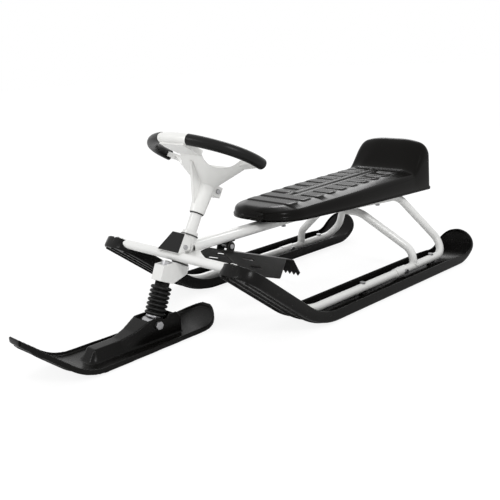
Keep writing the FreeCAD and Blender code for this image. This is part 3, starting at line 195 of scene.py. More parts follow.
ski_colour = (0.0036, 0.0034, 0.0031)
ski_worn_colour = (0.030, 0.028, 0.026)
ski_roughness = (0.20, 0.34)
ski_grain = 0.20
ski_wear_share = 0.4
ski_scratch_share = 0.25
ski_shine = 0.12
ski_plastic = finish("ski_plastic", ski_colour, ski_worn_colour, ski_roughness, ski_grain, ski_wear_share,
                     scratches=ski_scratch_share, shine=ski_shine)
sole_z = 0.003
ski_middle_y = 0.1975
ski_half_width = 0.0525
ski_lip = 0.026
ski_tail_lip = 0.009
ski_lip_rise_from = 0.020
ski_lip_rise_to = 0.150
ski_floor = 0.004
ski_wall = 0.004
ski_tail_x = -0.518
ski_tail_radius = 0.080
ski_tail_angle = math.radians(84)
ski_ramp_x = -0.02165
ski_ramp_radius = 0.180
ramp_angle = math.radians(37.5)
ski_front_x = 0.24628
ski_tail_round = 0.0515
ski_front_round = 0.040
ski_outer_corner = 0.006
ski_inner_corner = 0.005
ski_rib_places = (-0.034, 0, 0.034)
ski_rib_half_width = 0.003
ski_boss_radius = 0.011
ski_boss_top = 0.0125
ski_bolt_places = ((-0.470, 0.190), (-0.180, 0.190))
end_shares = (0, 0.01, 0.03, 0.077, 0.078, 0.11, 0.16, 0.22, 0.30, 0.40, 0.52, 0.66, 0.82, 1)
section_steps = 5
tail_steps = 10
flat_steps = 8
bend_steps = 14
ramp_steps = 6
boss_sides = 32
boss_bore_share = 1 / 3
corner_lip_share = 1 / 3
right_angle = math.pi / 2
tail_length = ski_tail_radius * ski_tail_angle
flat_length = ski_ramp_x - ski_tail_x
bend_length = ski_ramp_radius * ramp_angle
bend_end_x = ski_ramp_x + ski_ramp_radius * math.sin(ramp_angle)
bend_end_z = sole_z + ski_ramp_radius * (1 - math.cos(ramp_angle))
ramp_length = (ski_front_x - bend_end_x) / math.cos(ramp_angle)
ski_length = tail_length + flat_length + bend_length + ramp_length


def ease(value, low, high):
    """A smooth step from 0 at low to 1 at high."""
    share = min(max((value - low) / (high - low), 0), 1)
    return share * share * (3 - 2 * share)


def sole_at(along):
    """The sole's place in the side view and the direction square to it, at a length from the tail's end."""
    if along < tail_length:
        angle = (tail_length - along) / ski_tail_radius
        place = Vector((ski_tail_x - ski_tail_radius * math.sin(angle), 0,
                        sole_z + ski_tail_radius * (1 - math.cos(angle))))
        return place, Vector((math.sin(angle), 0, math.cos(angle)))
    along -= tail_length
    if along < flat_length:
        return Vector((ski_tail_x + along, 0, sole_z)), Vector((0, 0, 1))
    along -= flat_length
    angle = min(along / ski_ramp_radius, ramp_angle)
    square = Vector((-math.sin(angle), 0, math.cos(angle)))
    if along < bend_length:
        place = Vector((ski_ramp_x + ski_ramp_radius * math.sin(angle), 0,
                        sole_z + ski_ramp_radius * (1 - math.cos(angle))))
        return place, square
    along -= bend_length
    place = Vector((bend_end_x + along * math.cos(ramp_angle), 0,
                    bend_end_z + along * math.sin(ramp_angle)))
    return place, square


def ski_width(along, inset):
    """Half the ski's width at a length from the tail's end, rounded at both ends and inset by a wall."""
    width = ski_half_width - inset
    for gone, corner in ((along, ski_tail_round), (ski_length - along, ski_front_round)):
        corner -= inset
        gone -= inset
        if gone <= 0:
            return 0
        if gone < corner:
            arc = math.sqrt(corner ** 2 - (corner - gone) ** 2)
            width = min(width, ski_half_width - inset - corner + arc)
    return width


def quarter(middle, reach, first, last):
    """Points on part of an ellipse, from one angle to another."""
    points = []
    for i in range(section_steps):
        angle = first + (last - first) * i / (section_steps - 1)
        points.append((middle[0] + reach[0] * math.cos(angle), middle[1] + reach[1] * math.sin(angle)))
    return points


def other_half(points):
    """The same points on the other side, in the opposite order."""
    return [(-across, up) for across, up in reversed(points)]


def tray_section(along):
    """The tray's closed outline across and square to the sole; solid within a wall of either end."""
    width = max(ski_width(along, 0), ski_outer_corner / 2)
    room = ski_width(along, ski_wall)
    lip = ski_tail_lip + (ski_lip - ski_tail_lip) * ease(along, ski_lip_rise_from, ski_lip_rise_to)
    floor = ski_floor
    if not room:
        room = width / 2
        floor = lip - ski_wall / 2
    outer = min(ski_outer_corner, width / 2, lip * corner_lip_share)
    inner = min(ski_inner_corner, room / 2, (lip - floor) * corner_lip_share)
    crest = ski_wall / 2
    half = quarter((width - outer, outer), (outer, outer), -right_angle, 0)
    half += quarter(((width + room) / 2, lip - crest), ((width - room) / 2, crest), 0, 2 * right_angle)
    half += quarter((room - inner, floor + inner), (inner, inner), 0, -right_angle)
    return half + other_half(half)


def outward(corners, faces):
    """The faces, turned round if they enclose their solid inside out."""
    volume = 0
    for face in faces:
        first = corners[face[0]]
        for i in range(1, len(face) - 1):
            volume += first.dot(corners[face[i]].cross(corners[face[i + 1]]))
    return faces if volume > 0 else [tuple(reversed(face)) for face in faces]


def rings(stations, count):
    """Faces that join a row of closed outlines of so many points each, with both ends closed."""
    faces = []
    for i in range(stations - 1):
        low = i * count
        high = low + count
        for j in range(count):
            k = (j + 1) % count
            faces.append((low + j, low + k, high + k, high + j))
    last = (stations - 1) * count
    faces.append(tuple(reversed(range(count))))
    faces.append(tuple(range(last, last + count)))
    return faces


def along_sole(stations, section, shift):
    """Corners and faces of a bar whose section, which may change, follows the sole."""
    corners = []
    for along in stations:
        place, square = sole_at(along)
        points = section(along)
        corners += [place + square * up + Vector((0, shift + across, 0)) for across, up in points]
    return corners, outward(corners, rings(len(stations), len(points)))


def spread(low, high, count):
    """Evenly spaced lengths between two, without either."""
    return [low + (high - low) * i / count for i in range(1, count)]


def rib_section(along):
    """The section of one rib under the sole, the same at every length."""
    half = [(ski_rib_half_width, ski_floor / 2), (ski_rib_half_width, -sole_z / 2),
            (ski_rib_half_width / 2, -sole_z)]
    return half + other_half(half)


def turned(outline, sides):
    """Corners and faces of a closed outline of (radius, height) turned round the upright axis."""
    corners = []
    faces = []
    count = len(outline)
    for i in range(sides):
        angle = 2 * math.pi * i / sides
        for radius, height in outline:
            corners.append(Vector((radius * math.cos(angle), radius * math.sin(angle), height)))
    for i in range(sides):
        low = i * count
        high = (i + 1) % sides * count
        for j in range(count):
            k = (j + 1) % count
            faces.append((low + j, high + j, high + k, low + k))
    return corners, faces


def boss(place, radius, low, high):
    """Corners and faces of a round boss with a bore, at a place in plan."""
    bore = radius * boss_bore_share
    corners, faces = turned([(bore, low), (radius, low), (radius, high), (bore, high)], boss_sides)
    return [corner + Vector((*place, 0)) for corner in corners], faces


def joined(parts):
    """Corners and faces of several bars as one mesh."""
    corners = []
    faces = []
    for more_corners, more_faces in parts:
        first = len(corners)
        corners += more_corners
        faces += [tuple(first + corner for corner in face) for face in more_faces]
    return corners, faces


def new_piece(name, corners, faces, material, body):
    """A smooth mesh that rides on a body."""
    mesh = bpy.data.meshes.new(name)
    mesh.from_pydata(corners, [], faces)
    mesh.polygons.foreach_set("use_smooth", [True] * len(mesh.polygons))
    mesh.materials.append(material)
    item = bpy.data.objects.new(name, mesh)
    bpy.context.scene.collection.objects.link(item)
    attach(item, body)
    return item


stations = [share * ski_tail_round for share in end_shares]
stations += spread(ski_tail_round, tail_length, tail_steps) + [tail_length]
flat_end = tail_length + flat_length
stations += spread(tail_length, flat_end, flat_steps) + [flat_end]
bend_end = flat_end + bend_length
stations += spread(flat_end, bend_end, bend_steps) + [bend_end]
stations += spread(bend_end, ski_length - ski_front_round, ramp_steps)
stations += [ski_length - share * ski_front_round for share in reversed(end_shares)]
rib_stations = [along for along in stations if ski_wall < along < ski_length - ski_wall]
tray_parts = [along_sole(stations, tray_section, ski_middle_y)]
for shift in ski_rib_places:
    rib_reach = abs(shift) + ski_rib_half_width
    kept = [along for along in rib_stations if ski_width(along, ski_wall) > rib_reach]
    tray_parts.append(along_sole(kept, rib_section, ski_middle_y + shift))
for place in ski_bolt_places:
    tray_parts.append(boss(place, ski_boss_radius, sole_z + ski_floor / 2, ski_boss_top))
tray_corners, tray_faces = joined(tray_parts)
for side, hand in ((1, "left"), (-1, "right")):
    corners = [Vector((corner.x, side * corner.y, corner.z)) for corner in tray_corners]
    faces = tray_faces if side > 0 else [tuple(reversed(face)) for face in tray_faces]
    tray = new_piece("runner_tray_" + hand, corners, faces, ski_plastic, "frame")
    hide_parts("runner_ski_" + hand)

# Frame: bent steel tubes, plates and sleeves, welded together, bolted to the skis and powder coated white.
# The coat is smooth and glossy, a little thin and grey along the edges.
frame_white = (0.80, 0.80, 0.785)
frame_worn_colour = (0.52, 0.51, 0.49)
frame_roughness = (0.26, 0.36)
frame_grain = 0.10
frame_wear_share = 0.25
frame_mottle_scale = 7.0
frame_coat_share = 0.25
white_paint = finish("white_paint", frame_white, frame_worn_colour, frame_roughness, frame_grain,
                     frame_wear_share, broad=frame_mottle_scale, coat=frame_coat_share)
dress(white_paint, "runner_tube_left", "runner_tube_right", "rear_tube_left", "rear_tube_right",
      "tube_sleeve_left", "tube_sleeve_right", "middle_hoop", "cross_tube", "gusset_left", "gusset_right",
      "head_tube", "head_bracket", "fork", "column", "lock_collar")

# Weld beads: where tubes and plates of the frame meet, rippled runs of weld under the same white paint.
# Each follows the line where one round tube lands on another, and is laid along it by a geometry tree.
tube_radius = 0.010
bead_radius = 0.0019
bead_sides = 8
bead_points = 96
bead_ripple_points = 4
bead_ripple_share = 0.16


def bead_tree():
    """A geometry tree that lays a rippled round bead along a path of edges."""
    tree = bpy.data.node_groups.new("rippled_bead", "GeometryNodeTree")
    tree.interface.new_socket("Path", in_out="INPUT", socket_type="NodeSocketGeometry")
    for label in ("Bead Radius", "Ripple Angle", "Ripple Share"):
        tree.interface.new_socket(label, in_out="INPUT", socket_type="NodeSocketFloat")
    tree.interface.new_socket("Paint", in_out="INPUT", socket_type="NodeSocketMaterial")
    tree.interface.new_socket("Geometry", in_out="OUTPUT", socket_type="NodeSocketGeometry")
    inlet = tree.nodes.new("NodeGroupInput")
    outlet = tree.nodes.new("NodeGroupOutput")
    line = tree.nodes.new("GeometryNodeMeshToCurve")
    place = tree.nodes.new("GeometryNodeInputIndex")
    phase = tree.nodes.new("ShaderNodeMath")
    phase.operation = "MULTIPLY"
    wave = tree.nodes.new("ShaderNodeMath")
    wave.operation = "SINE"
    swell = tree.nodes.new("ShaderNodeMath")
    swell.operation = "MULTIPLY_ADD"
    swell.inputs[2].default_value = 1
    section = tree.nodes.new("GeometryNodeCurvePrimitiveCircle")
    section.inputs["Resolution"].default_value = bead_sides
    lay = tree.nodes.new("GeometryNodeCurveToMesh")
    plain = tree.nodes.new("GeometryNodeRealizeInstances")
    paint = tree.nodes.new("GeometryNodeSetMaterial")
    link(tree, inlet, "Path", line, "Mesh")
    link(tree, place, "Index", phase, 0)
    link(tree, inlet, "Ripple Angle", phase, 1)
    link(tree, phase, "Value", wave, 0)
    link(tree, wave, "Value", swell, 0)
    link(tree, inlet, "Ripple Share", swell, 1)
    link(tree, inlet, "Bead Radius", section, "Radius")
    link(tree, line, "Curve", lay, "Curve")
    link(tree, section, "Curve", lay, "Profile Curve")
    link(tree, swell, "Value", lay, "Scale")
    link(tree, lay, "Mesh", plain, "Geometry")
    link(tree, plain, "Geometry", paint, "Geometry")
    link(tree, inlet, "Paint", paint, "Material")
    link(tree, paint, "Geometry", outlet, "Geometry")
    return tree


bead_group = bead_tree()


def solved(item):
    """Corners and faces of an object with its modifiers, as plain lists; the object itself is removed."""
    bpy.context.scene.collection.objects.link(item)
    ready = item.evaluated_get(bpy.context.evaluated_depsgraph_get())
    mesh = bpy.data.meshes.new_from_object(ready)
    bpy.data.objects.remove(item)
    corners = [corner.co.copy() for corner in mesh.vertices]
    faces = [tuple(face.vertices) for face in mesh.polygons]
    return corners, faces


def grown(start, group, values):
    """Corners and faces that a geometry tree makes from a start mesh and named values."""
    item = bpy.data.objects.new("grown", start)
    modifier = item.modifiers.new("grown", "NODES")
    modifier.node_group = group
    for socket in group.interface.items_tree:
        if socket.in_out == "INPUT" and socket.name in values:
            modifier[socket.identifier] = values[socket.name]
    return solved(item)


def saddle_path(centre, host_along, guest_along, host_radius, shift=(0, 0, 0)):
    """The line where a frame tube lands about square on another, perhaps to one side of its middle."""
    host = Vector(host_along).normalized()
    guest = Vector(guest_along).normalized()
    wide = host.cross(guest).normalized()
    flat = guest.cross(wide).normalized()
    line = []
    for i in range(bead_points):
        angle = 2 * math.pi * i / bead_points
        across = tube_radius * math.sin(angle)
        along = tube_radius * math.cos(angle)
        foot = Vector(centre) + Vector(shift) + wide * across + flat * along
        offset = foot - Vector(centre)
        sunk = offset - host * offset.dot(host)
        reach = guest - host * guest.dot(host)
        # The height along the guest at which the point lies on the host tube's surface.
        toward = sunk.dot(reach)
        spare = toward ** 2 - reach.length_squared * (sunk.length_squared - host_radius ** 2)
        height = (math.sqrt(max(spare, 0)) - toward) / reach.length_squared
        line.append(foot + guest * height)
    return line


def weld_bead(name, path, body):
    """A closed bead with the small ripples of a hand weld."""
    line = bpy.data.meshes.new("bead_line")
    line.from_pydata(path, [(i, (i + 1) % len(path)) for i in range(len(path))], [])
    values = {"Bead Radius": bead_radius, "Ripple Angle": 2 * math.pi / bead_ripple_points,
              "Ripple Share": bead_ripple_share, "Paint": white_paint}
    corners, faces = grown(line, bead_group, values)
    new_piece(name, corners, outward(corners, faces), white_paint, body)


ramp_along = (math.cos(ramp_angle), 0, math.sin(ramp_angle))
cross_tube_place = (0.22328, 0, 0.16801)
hoop_foot_place = (-0.392, 0.190, 0.022)
hoop_foot_along = (0.002, -0.004, 0.040)
head_place = (0.188, 0, 0.175)
column_lean = math.radians(30)
column_along = Vector((-math.sin(column_lean), 0, math.cos(column_lean)))
head_tube_radius = 0.017
backbone_y = 0.0105
for side, hand in ((1, "left"), (-1, "right")):
    foot = (hoop_foot_place[0], side * hoop_foot_place[1], hoop_foot_place[2])
    along = (hoop_foot_along[0], side * hoop_foot_along[1], hoop_foot_along[2])
    path = saddle_path(foot, (1, 0, 0), along, tube_radius)
    weld_bead("hoop_weld_" + hand, path, "frame")
    ramp_place = (cross_tube_place[0], side * hoop_foot_place[1], cross_tube_place[2])
    path = saddle_path(ramp_place, ramp_along, (0, -side, 0), tube_radius)
    weld_bead("ramp_weld_" + hand, path, "frame")
    shift = (0, side * backbone_y, 0)
    path = saddle_path(head_place, column_along, (-1, 0, 0), head_tube_radius, shift)
    weld_bead("head_weld_" + hand, path, "frame")

# Fasteners and turned parts: zinc plated steel, satin grey with fine turning marks.
# The bolts hold tubes to skis, the seat to its bars, the bracket to the head and the ski to its strut.
# Their heads and shanks are the solids themselves, with edges rounded in the surface.
steel_colour = (0.42, 0.42, 0.43)
steel_worn_colour = (0.62, 0.62, 0.62)
steel_roughness = (0.28, 0.45)
steel_grain = 0.2
steel_wear_share = 0.4
steel_mottle_scale = 60.0
zinc = finish("zinc", steel_colour, steel_worn_colour, steel_roughness, steel_grain, steel_wear_share,
              broad=steel_mottle_scale, metal=1)
dress(zinc, "ski_bolts", "bracket_bolts", "seat_bolts", "wheel_bolt", "pivot_bolt", "pivot_nut",
      "brake_pin", "strut_guide", "strut_rod")

# Bushes and spacers: turned grey nylon inside the steering head and beside the ski's pivot.
# The bushes are pressed into the head tube, and the spacers sit on the pivot bolt beside the rod's eye.
bush_colour = (0.06, 0.06, 0.06)
bush_worn_colour = (0.12, 0.12, 0.12)
bush_roughness = (0.45, 0.6)
bush_grain = 0.2
bush_wear_share = 0.2
bush_mottle_scale = 40.0
nylon = finish("nylon", bush_colour, bush_worn_colour, bush_roughness, bush_grain, bush_wear_share,
               broad=bush_mottle_scale)
dress(nylon, "head_bushes", "pivot_spacers")

# Bare plate on the head bracket: a thin moulding in black plastic with a satin face.
# It is glued to the bracket's sloping sheet.
plate_colour = (0.005, 0.005, 0.005)
plate_worn_colour = (0.04, 0.04, 0.04)
plate_roughness = (0.30, 0.40)
plate_grain = 0.15
plate_wear_share = 0.4
plate_shine = 0.15
plate_black = finish("plate_black", plate_colour, plate_worn_colour, plate_roughness, plate_grain,
                     plate_wear_share, shine=plate_shine)
dress(plate_black, "head_plate")

# Front ski: one black moulding with a tower for the pivot, in the same plastic as the runners.
# It hangs on the pivot bolt at the strut's foot and pitches with the ground.
# A copy of the solid is remeshed and smoothed until its edges are round, and its nose is drawn in.
front_voxel = 0.0017
front_passes = 5
nose_from = 0.490
nose_bands = 40
nose_end_share = 0.16
nose_power = 2.3
nose_spread_limit = 1.7


def moulded(source, voxel, passes):
    """Corners and faces of a CAD node with each edge rounded: remeshed finely and smoothed."""
    item = bpy.data.objects.new("moulded_copy", nodes[source].data.copy())
    item.modifiers.new("merge", "WELD")
    fine = item.modifiers.new("fine", "REMESH")
    fine.mode = "VOXEL"
    fine.voxel_size = voxel
    soft = item.modifiers.new("soft", "SMOOTH")
    soft.iterations = passes
    return solved(item)


front_corners, front_faces = moulded("front_ski", front_voxel, front_passes)
nose_length = max(corner.x for corner in front_corners) - nose_from
widths = [0] * (nose_bands + 1)
for corner in front_corners:
    if corner.x > nose_from:
        band = int((corner.x - nose_from) / nose_length * nose_bands)
        widths[band] = max(widths[band], abs(corner.y))
for corner in front_corners:
    if corner.x > nose_from:
        share = (corner.x - nose_from) / nose_length
        band = min(int(share * nose_bands), nose_bands - 1)
        within = share * nose_bands - band
        present = widths[band] * (1 - within) + widths[band + 1] * within
        wanted = widths[0] * max(math.sqrt(max(1 - share ** nose_power, 0)), nose_end_share)
        corner.y *= min(wanted / present, nose_spread_limit)
front_ski = new_piece("front_ski_shell", front_corners, front_faces, ski_plastic, "front_ski_unit")
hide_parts("front_ski")

# Foot brake: pressed steel painted matt black, with bare metal on its worn teeth and edges.
# The plate swings on a pin in the hanger, which is welded under the two backbone tubes.
brake_colour = (0.005, 0.0048, 0.0044)
brake_worn_colour = (0.14, 0.13, 0.12)
brake_roughness = (0.32, 0.46)
brake_grain = 0.30
brake_wear_share = 0.35
brake_scratch_share = 0.12
brake_shine = 0.15
brake_paint = finish("brake_paint", brake_colour, brake_worn_colour, brake_roughness, brake_grain,
                     brake_wear_share, scratches=brake_scratch_share, shine=brake_shine)
dress(brake_paint, "brake_plate", "brake_hanger")

# Seat: one glossy black moulding with raised pads, a spine and a raised back.
# It is a thin plastic shell, open below, whose bosses take the bolts of the bars that cross under it.
# The shell is a row of cross sections from front to rear, and the pads are raised on its outside.
seat_colour = (0.0040, 0.0036, 0.0031)
seat_worn_colour = (0.030, 0.027, 0.023)
seat_roughness = (0.14, 0.24)
seat_grain = 0.08
seat_wear_share = 0.4
seat_rounding = 0.003
seat_shine = 0.08
seat_gloss = finish("seat_gloss", seat_colour, seat_worn_colour, seat_roughness, seat_grain,
                    seat_wear_share, rounding=seat_rounding, shine=seat_shine)
seat_front_x = -0.008
seat_rear_x = -0.600
seat_half_width = 0.1155
seat_taper = 0.013
seat_taper_from = -0.300
seat_front_round = 0.082
seat_rear_round = 0.020
seat_flange = 0.0025
seat_flange_height = 0.007
seat_wall = 0.004
seat_draft = 0.003
seat_draft_height = 0.034
seat_end_rise = 0.001
seat_end_depth = 0.0005
seat_end_share = 0.9
seat_drop_share = 0.4
seat_front_rim_z = 0.1965
seat_rear_rim_z = 0.178
seat_crown_x = -0.042
seat_crown_z = 0.2265
seat_nose_fall = 0.003
seat_nose_radius = 0.017
seat_foot_x = -0.512
seat_foot_z = 0.237
seat_crest_x = -0.580
seat_crest_z = 0.312
seat_shoulder_drop = 0.009
seat_shoulder_width = 0.034
seat_shoulder_radius = 0.013
seat_back_drop = 0.014
seat_back_width = 0.075
seat_back_radius = 0.036
seat_flat_radius = 0.060
seat_back_flat_radius = 0.220
pad_height = 0.0026
pad_edge = 0.0060
pad_corner = 0.010
wide_pads = ((-0.084, 0.038), (-0.130, 0.038))
wide_pad_half = 0.074
pad_row_first_x = -0.172
pad_row_pitch = 0.044
pad_row_length = 0.032
pad_rows = 8
pad_inner_y = 0.019
pad_outer_y = 0.080
spine_half_width = 0.015
spine_height = 0.0050
spine_front_x = -0.150
spine_rear_x = -0.500
seat_bolt_places = ((-0.110, 0.0105), (-0.410, 0.0678))
seat_boss_radius = 0.009
seat_boss_low = 0.1852
flat_points = 38
outside_steps = (9, 7)
inside_steps = (6, 6)
own_run_share = 0.8
slope_run_share = 0.5
nose_flange_shares = (0, 0.1, 0.999, 1.001, 1.3, 1.8, 2.59, 2.61, 3.2, 4, 5, 6, 7, 8)
rear_flange_shares = (0, 0.1, 0.999, 1.001, 2.59, 2.61)
top_steps = 250
back_steps = 34
rear_corner_steps = 9


def seat_width(x, inset):
    """Half the seat's width in plan at x, with round corners, inset from the flange."""
    full = seat_half_width - seat_taper * ease(x, seat_taper_from, seat_front_x) - inset
    width = full
    for gone, corner in ((seat_front_x - x, seat_front_round), (x - seat_rear_x, seat_rear_round)):
        gone -= inset
        corner -= inset
        if gone <= 0:
            return 0
        if gone < corner:
            width = min(width, full - corner + math.sqrt(corner ** 2 - (corner - gone) ** 2))
    return width


def seat_top(x):
    """The height of the seat's middle line: a rounded nose, a long flat, and the back's sweep and crest."""
    if x > seat_crown_x:
        nose = (x - seat_crown_x) / (seat_front_x - seat_crown_x)
        height = seat_crown_z - seat_nose_fall * nose ** 2
        gone = seat_front_x - seat_flange - x
        if gone < seat_nose_radius:
            over = seat_nose_radius - max(gone, 0)
            height -= seat_nose_radius - math.sqrt(seat_nose_radius ** 2 - over ** 2)
        return height
    share = (x - seat_crown_x) / (seat_foot_x - seat_crown_x)
    height = seat_crown_z + (seat_foot_z - seat_crown_z) * min(share, 1)
    height += (seat_crest_z - seat_foot_z) * ease(x, seat_foot_x, seat_crest_x)
    if x < seat_crest_x:
        radius = seat_crest_x - seat_rear_x - seat_flange
        height -= radius - math.sqrt(max(radius ** 2 - (seat_crest_x - x) ** 2, 0))
    return height


def seat_rim(x):
    """The height of the seat's lower edge."""
    share = (x - seat_rear_x) / (seat_front_x - seat_rear_x)
    return seat_rear_rim_z + (seat_front_rim_z - seat_rear_rim_z) * share


def bump(x, y, middle_x, middle_y, half_x, half_y):
    """1 on a rounded pad and 0 off it, with a soft edge."""
    out_x = max(abs(x - middle_x) - half_x + pad_corner, 0)
    out_y = max(abs(y - middle_y) - half_y + pad_corner, 0)
    beyond = math.hypot(out_x, out_y) - pad_corner
    return 1 - ease(beyond, -pad_edge, 0)


def seat_relief(x, y):
    """How far the pads and the spine stand above the seat at a point."""
    y = abs(y)
    spine = 1 - ease(y, 0, spine_half_width)
    spine *= ease(x, spine_rear_x, spine_rear_x + 2 * pad_corner)
    spine *= 1 - ease(x, spine_front_x - 2 * pad_corner, spine_front_x)
    pads = 0
    for middle_x, length in wide_pads:
        pads = max(pads, bump(x, y, middle_x, 0, length / 2, wide_pad_half))
    row = min(max(round((pad_row_first_x - x) / pad_row_pitch), 0), pad_rows - 1)
    row_x = pad_row_first_x - row * pad_row_pitch
    middle_y = (pad_inner_y + pad_outer_y) / 2
    pads = max(pads, bump(x, y, row_x, middle_y, pad_row_length / 2, (pad_outer_y - pad_inner_y) / 2))
    return spine * spine_height + pads * pad_height


def bend(before, corner, after, radius, steps, shares):
    """Points on the arc that rounds a corner between two straight runs, within a share of each."""
    corner = Vector(corner)
    first = Vector(before) - corner
    second = Vector(after) - corner
    half_angle = first.angle(second) / 2
    reach = min(radius / math.tan(half_angle), first.length * shares[0], second.length * shares[1])
    first.normalize()
    second.normalize()
    middle = corner + (first + second).normalized() * reach / math.cos(half_angle)
    start = corner + first * reach - middle
    turn = start.angle_signed(corner + second * reach - middle)
    return [middle + Matrix.Rotation(-turn * i / (steps - 1), 2) @ start for i in range(steps)]


def over_shoulder(foot, shoulder, slope, top, radius, arch, steps):
    """Points from a side over its shoulder to the flat top: two bends that share the slope between them."""
    inner = (shoulder[0] - slope, top)
    points = bend(foot, shoulder, inner, radius, steps[0], (own_run_share, slope_run_share))
    return points + bend(shoulder, inner, (0, top), arch, steps[1], (slope_run_share, own_run_share))


def toward_back(plain, raised, back):
    """A size that goes over from the seat's to that of its back."""
    return plain + (raised - plain) * back


def seat_section(x):
    """The seat's closed outline across at x: flange, side, shoulder and top, then the inside."""
    rim = seat_rim(x)
    ledge = rim + seat_flange_height
    flange = max(seat_width(x, 0), seat_wall)
    body = seat_width(x, seat_flange)
    room = seat_width(x, seat_flange + seat_wall)
    top = seat_top(x)
    if not body:
        body = flange * seat_end_share
        top = ledge + seat_end_rise
    back = ease(x, seat_foot_x, seat_crest_x)
    drop = min(toward_back(seat_shoulder_drop, seat_back_drop, back), (top - ledge) * seat_drop_share)
    slope = min(toward_back(seat_shoulder_width, seat_back_width, back), body / 2)
    radius = toward_back(seat_shoulder_radius, seat_back_radius, back)
    arch = toward_back(seat_flat_radius, seat_back_flat_radius, back)
    lean = seat_draft * min(1, (top - ledge) / seat_draft_height)
    foot = (body, ledge)
    outside = [(flange, rim), (flange, ledge - seat_flange / 2), (flange - seat_flange / 2, ledge), foot]
    outside += over_shoulder(foot, (body - lean, top - drop), slope, top, radius, arch, outside_steps)
    flat_from = outside[-1][0]
    outside += [(flat_from * (1 - i / flat_points), top) for i in range(1, flat_points + 1)]
    outside = [(across, up + seat_relief(x, across)) for across, up in outside]
    if room:
        foot = (room, rim)
        under = top - seat_wall
        shoulder = (room - lean, under - drop)
        inside = [(0, under)]
        inside += reversed(over_shoulder(foot, shoulder, min(slope, room / 2), under,
                                         max(radius - seat_wall, seat_wall), arch, inside_steps))
        inside.append(foot)
    else:
        count = sum(inside_steps) + 2
        inside = [(flange * seat_end_share * i / count, rim + seat_end_depth) for i in range(count)]
    return outside + other_half(outside[:-1]) + other_half(inside) + inside[1:]


seat_stations = [seat_front_x - share * seat_flange for share in nose_flange_shares]
seat_stations += spread(seat_stations[-1], spine_rear_x, top_steps) + [spine_rear_x]
seat_stations += spread(spine_rear_x, seat_crest_x, back_steps) + [seat_crest_x]
rear_stations = [seat_rear_x + share * seat_flange for share in rear_flange_shares]
for i in range(1, rear_corner_steps):
    gone = 1 - math.cos(right_angle * i / rear_corner_steps)
    rear_stations.append(seat_rear_x + seat_flange + (seat_rear_round - seat_flange) * gone)
seat_stations += sorted(rear_stations, reverse=True)
seat_corners = []
for x in seat_stations:
    section = seat_section(x)
    seat_corners += [Vector((x, across, up)) for across, up in section]
seat_faces = rings(len(seat_stations), len(section))
seat_parts = [(seat_corners, outward(seat_corners, seat_faces))]
for bolt_x, bolt_y in seat_bolt_places:
    boss_high = seat_top(bolt_x) - seat_wall / 2
    for side in (1, -1):
        seat_parts.append(boss((bolt_x, side * bolt_y), seat_boss_radius, seat_boss_low, boss_high))
seat_corners, seat_faces = joined(seat_parts)
seat = new_piece("seat_shell", seat_corners, seat_faces, seat_gloss, "frame")
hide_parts("seat")

# Steering wheel: white plastic with two black rubber grips and a thin black ring under the stem.
# The wheel is one moulding bolted through the column; the grips are pushed over its rim.
wheel_white = (0.82, 0.82, 0.80)
wheel_worn_colour = (0.60, 0.58, 0.54)
wheel_roughness = (0.24, 0.36)
wheel_grain = 0.08
wheel_wear_share = 0.2
wheel_mottle_scale = 9.0
wheel_plastic = finish("wheel_plastic", wheel_white, wheel_worn_colour, wheel_roughness, wheel_grain,
                       wheel_wear_share, broad=wheel_mottle_scale)
dress(wheel_plastic, "steering_wheel")
grip_colour = (0.0045, 0.0044, 0.0042)
grip_worn_colour = (0.025, 0.025, 0.025)
grip_roughness = (0.30, 0.42)
grip_grain = 0.35
grip_grain_scale = 900.0
grip_wear_share = 0.2
grip_shine = 0.2
grip_rubber = finish("grip_rubber", grip_colour, grip_worn_colour, grip_roughness, grip_grain,
                     grip_wear_share, fine=grip_grain_scale, shine=grip_shine)
dress(grip_rubber, "grip_left", "grip_right", "stem_ring")

# Strut boot: a soft black rubber bellows from the spring seat up to the fork, with seven round ribs.
# It is moulded in one piece with a smooth collar at the top, and rides whole with the steering.
strut_foot = Vector((0.291605, 0, 0.037153))
strut_lean = math.radians(24)
strut_along = Vector((-math.sin(strut_lean), 0, math.cos(strut_lean)))
boot_low = 0.0161
boot_high = 0.0887
boot_collar = 0.009
boot_ribs = 7
boot_root_radius = 0.0160
boot_rib_radius = 0.0225
boot_collar_radius = 0.0154
boot_bore = 0.0134
boot_rib_points = 14
boot_sides = 72
boot_colour = (0.0045, 0.0045, 0.0043)
boot_worn_colour = (0.02, 0.02, 0.02)
boot_roughness = (0.32, 0.44)
boot_grain = 0.30
boot_wear_share = 0.1
boot_shine = 0.25
boot_rubber = finish("boot_rubber", boot_colour, boot_worn_colour, boot_roughness, boot_grain,
                     boot_wear_share, shine=boot_shine)
strut_turn = strut_along.to_track_quat("Z", "Y").to_matrix().to_4x4()
strut_place = Matrix.Translation(strut_foot) @ strut_turn
rib_pitch = (boot_high - boot_collar - boot_low) / boot_ribs
boot_outline = [(boot_bore, boot_low)]
for rib in range(boot_ribs):
    for step in range(boot_rib_points):
        share = step / boot_rib_points
        bulge = math.sqrt(math.sin(math.pi * share))
        radius = boot_root_radius + (boot_rib_radius - boot_root_radius) * bulge
        boot_outline.append((radius, boot_low + (rib + share) * rib_pitch))
boot_outline += [(boot_collar_radius, boot_high - boot_collar), (boot_collar_radius, boot_high),
                 (boot_bore, boot_high)]
boot_corners, boot_faces = turned(boot_outline, boot_sides)
boot_corners = [strut_place @ corner for corner in boot_corners]
boot = new_piece("strut_boot", boot_corners, boot_faces, boot_rubber, "steering")
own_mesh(boot)
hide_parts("boot")

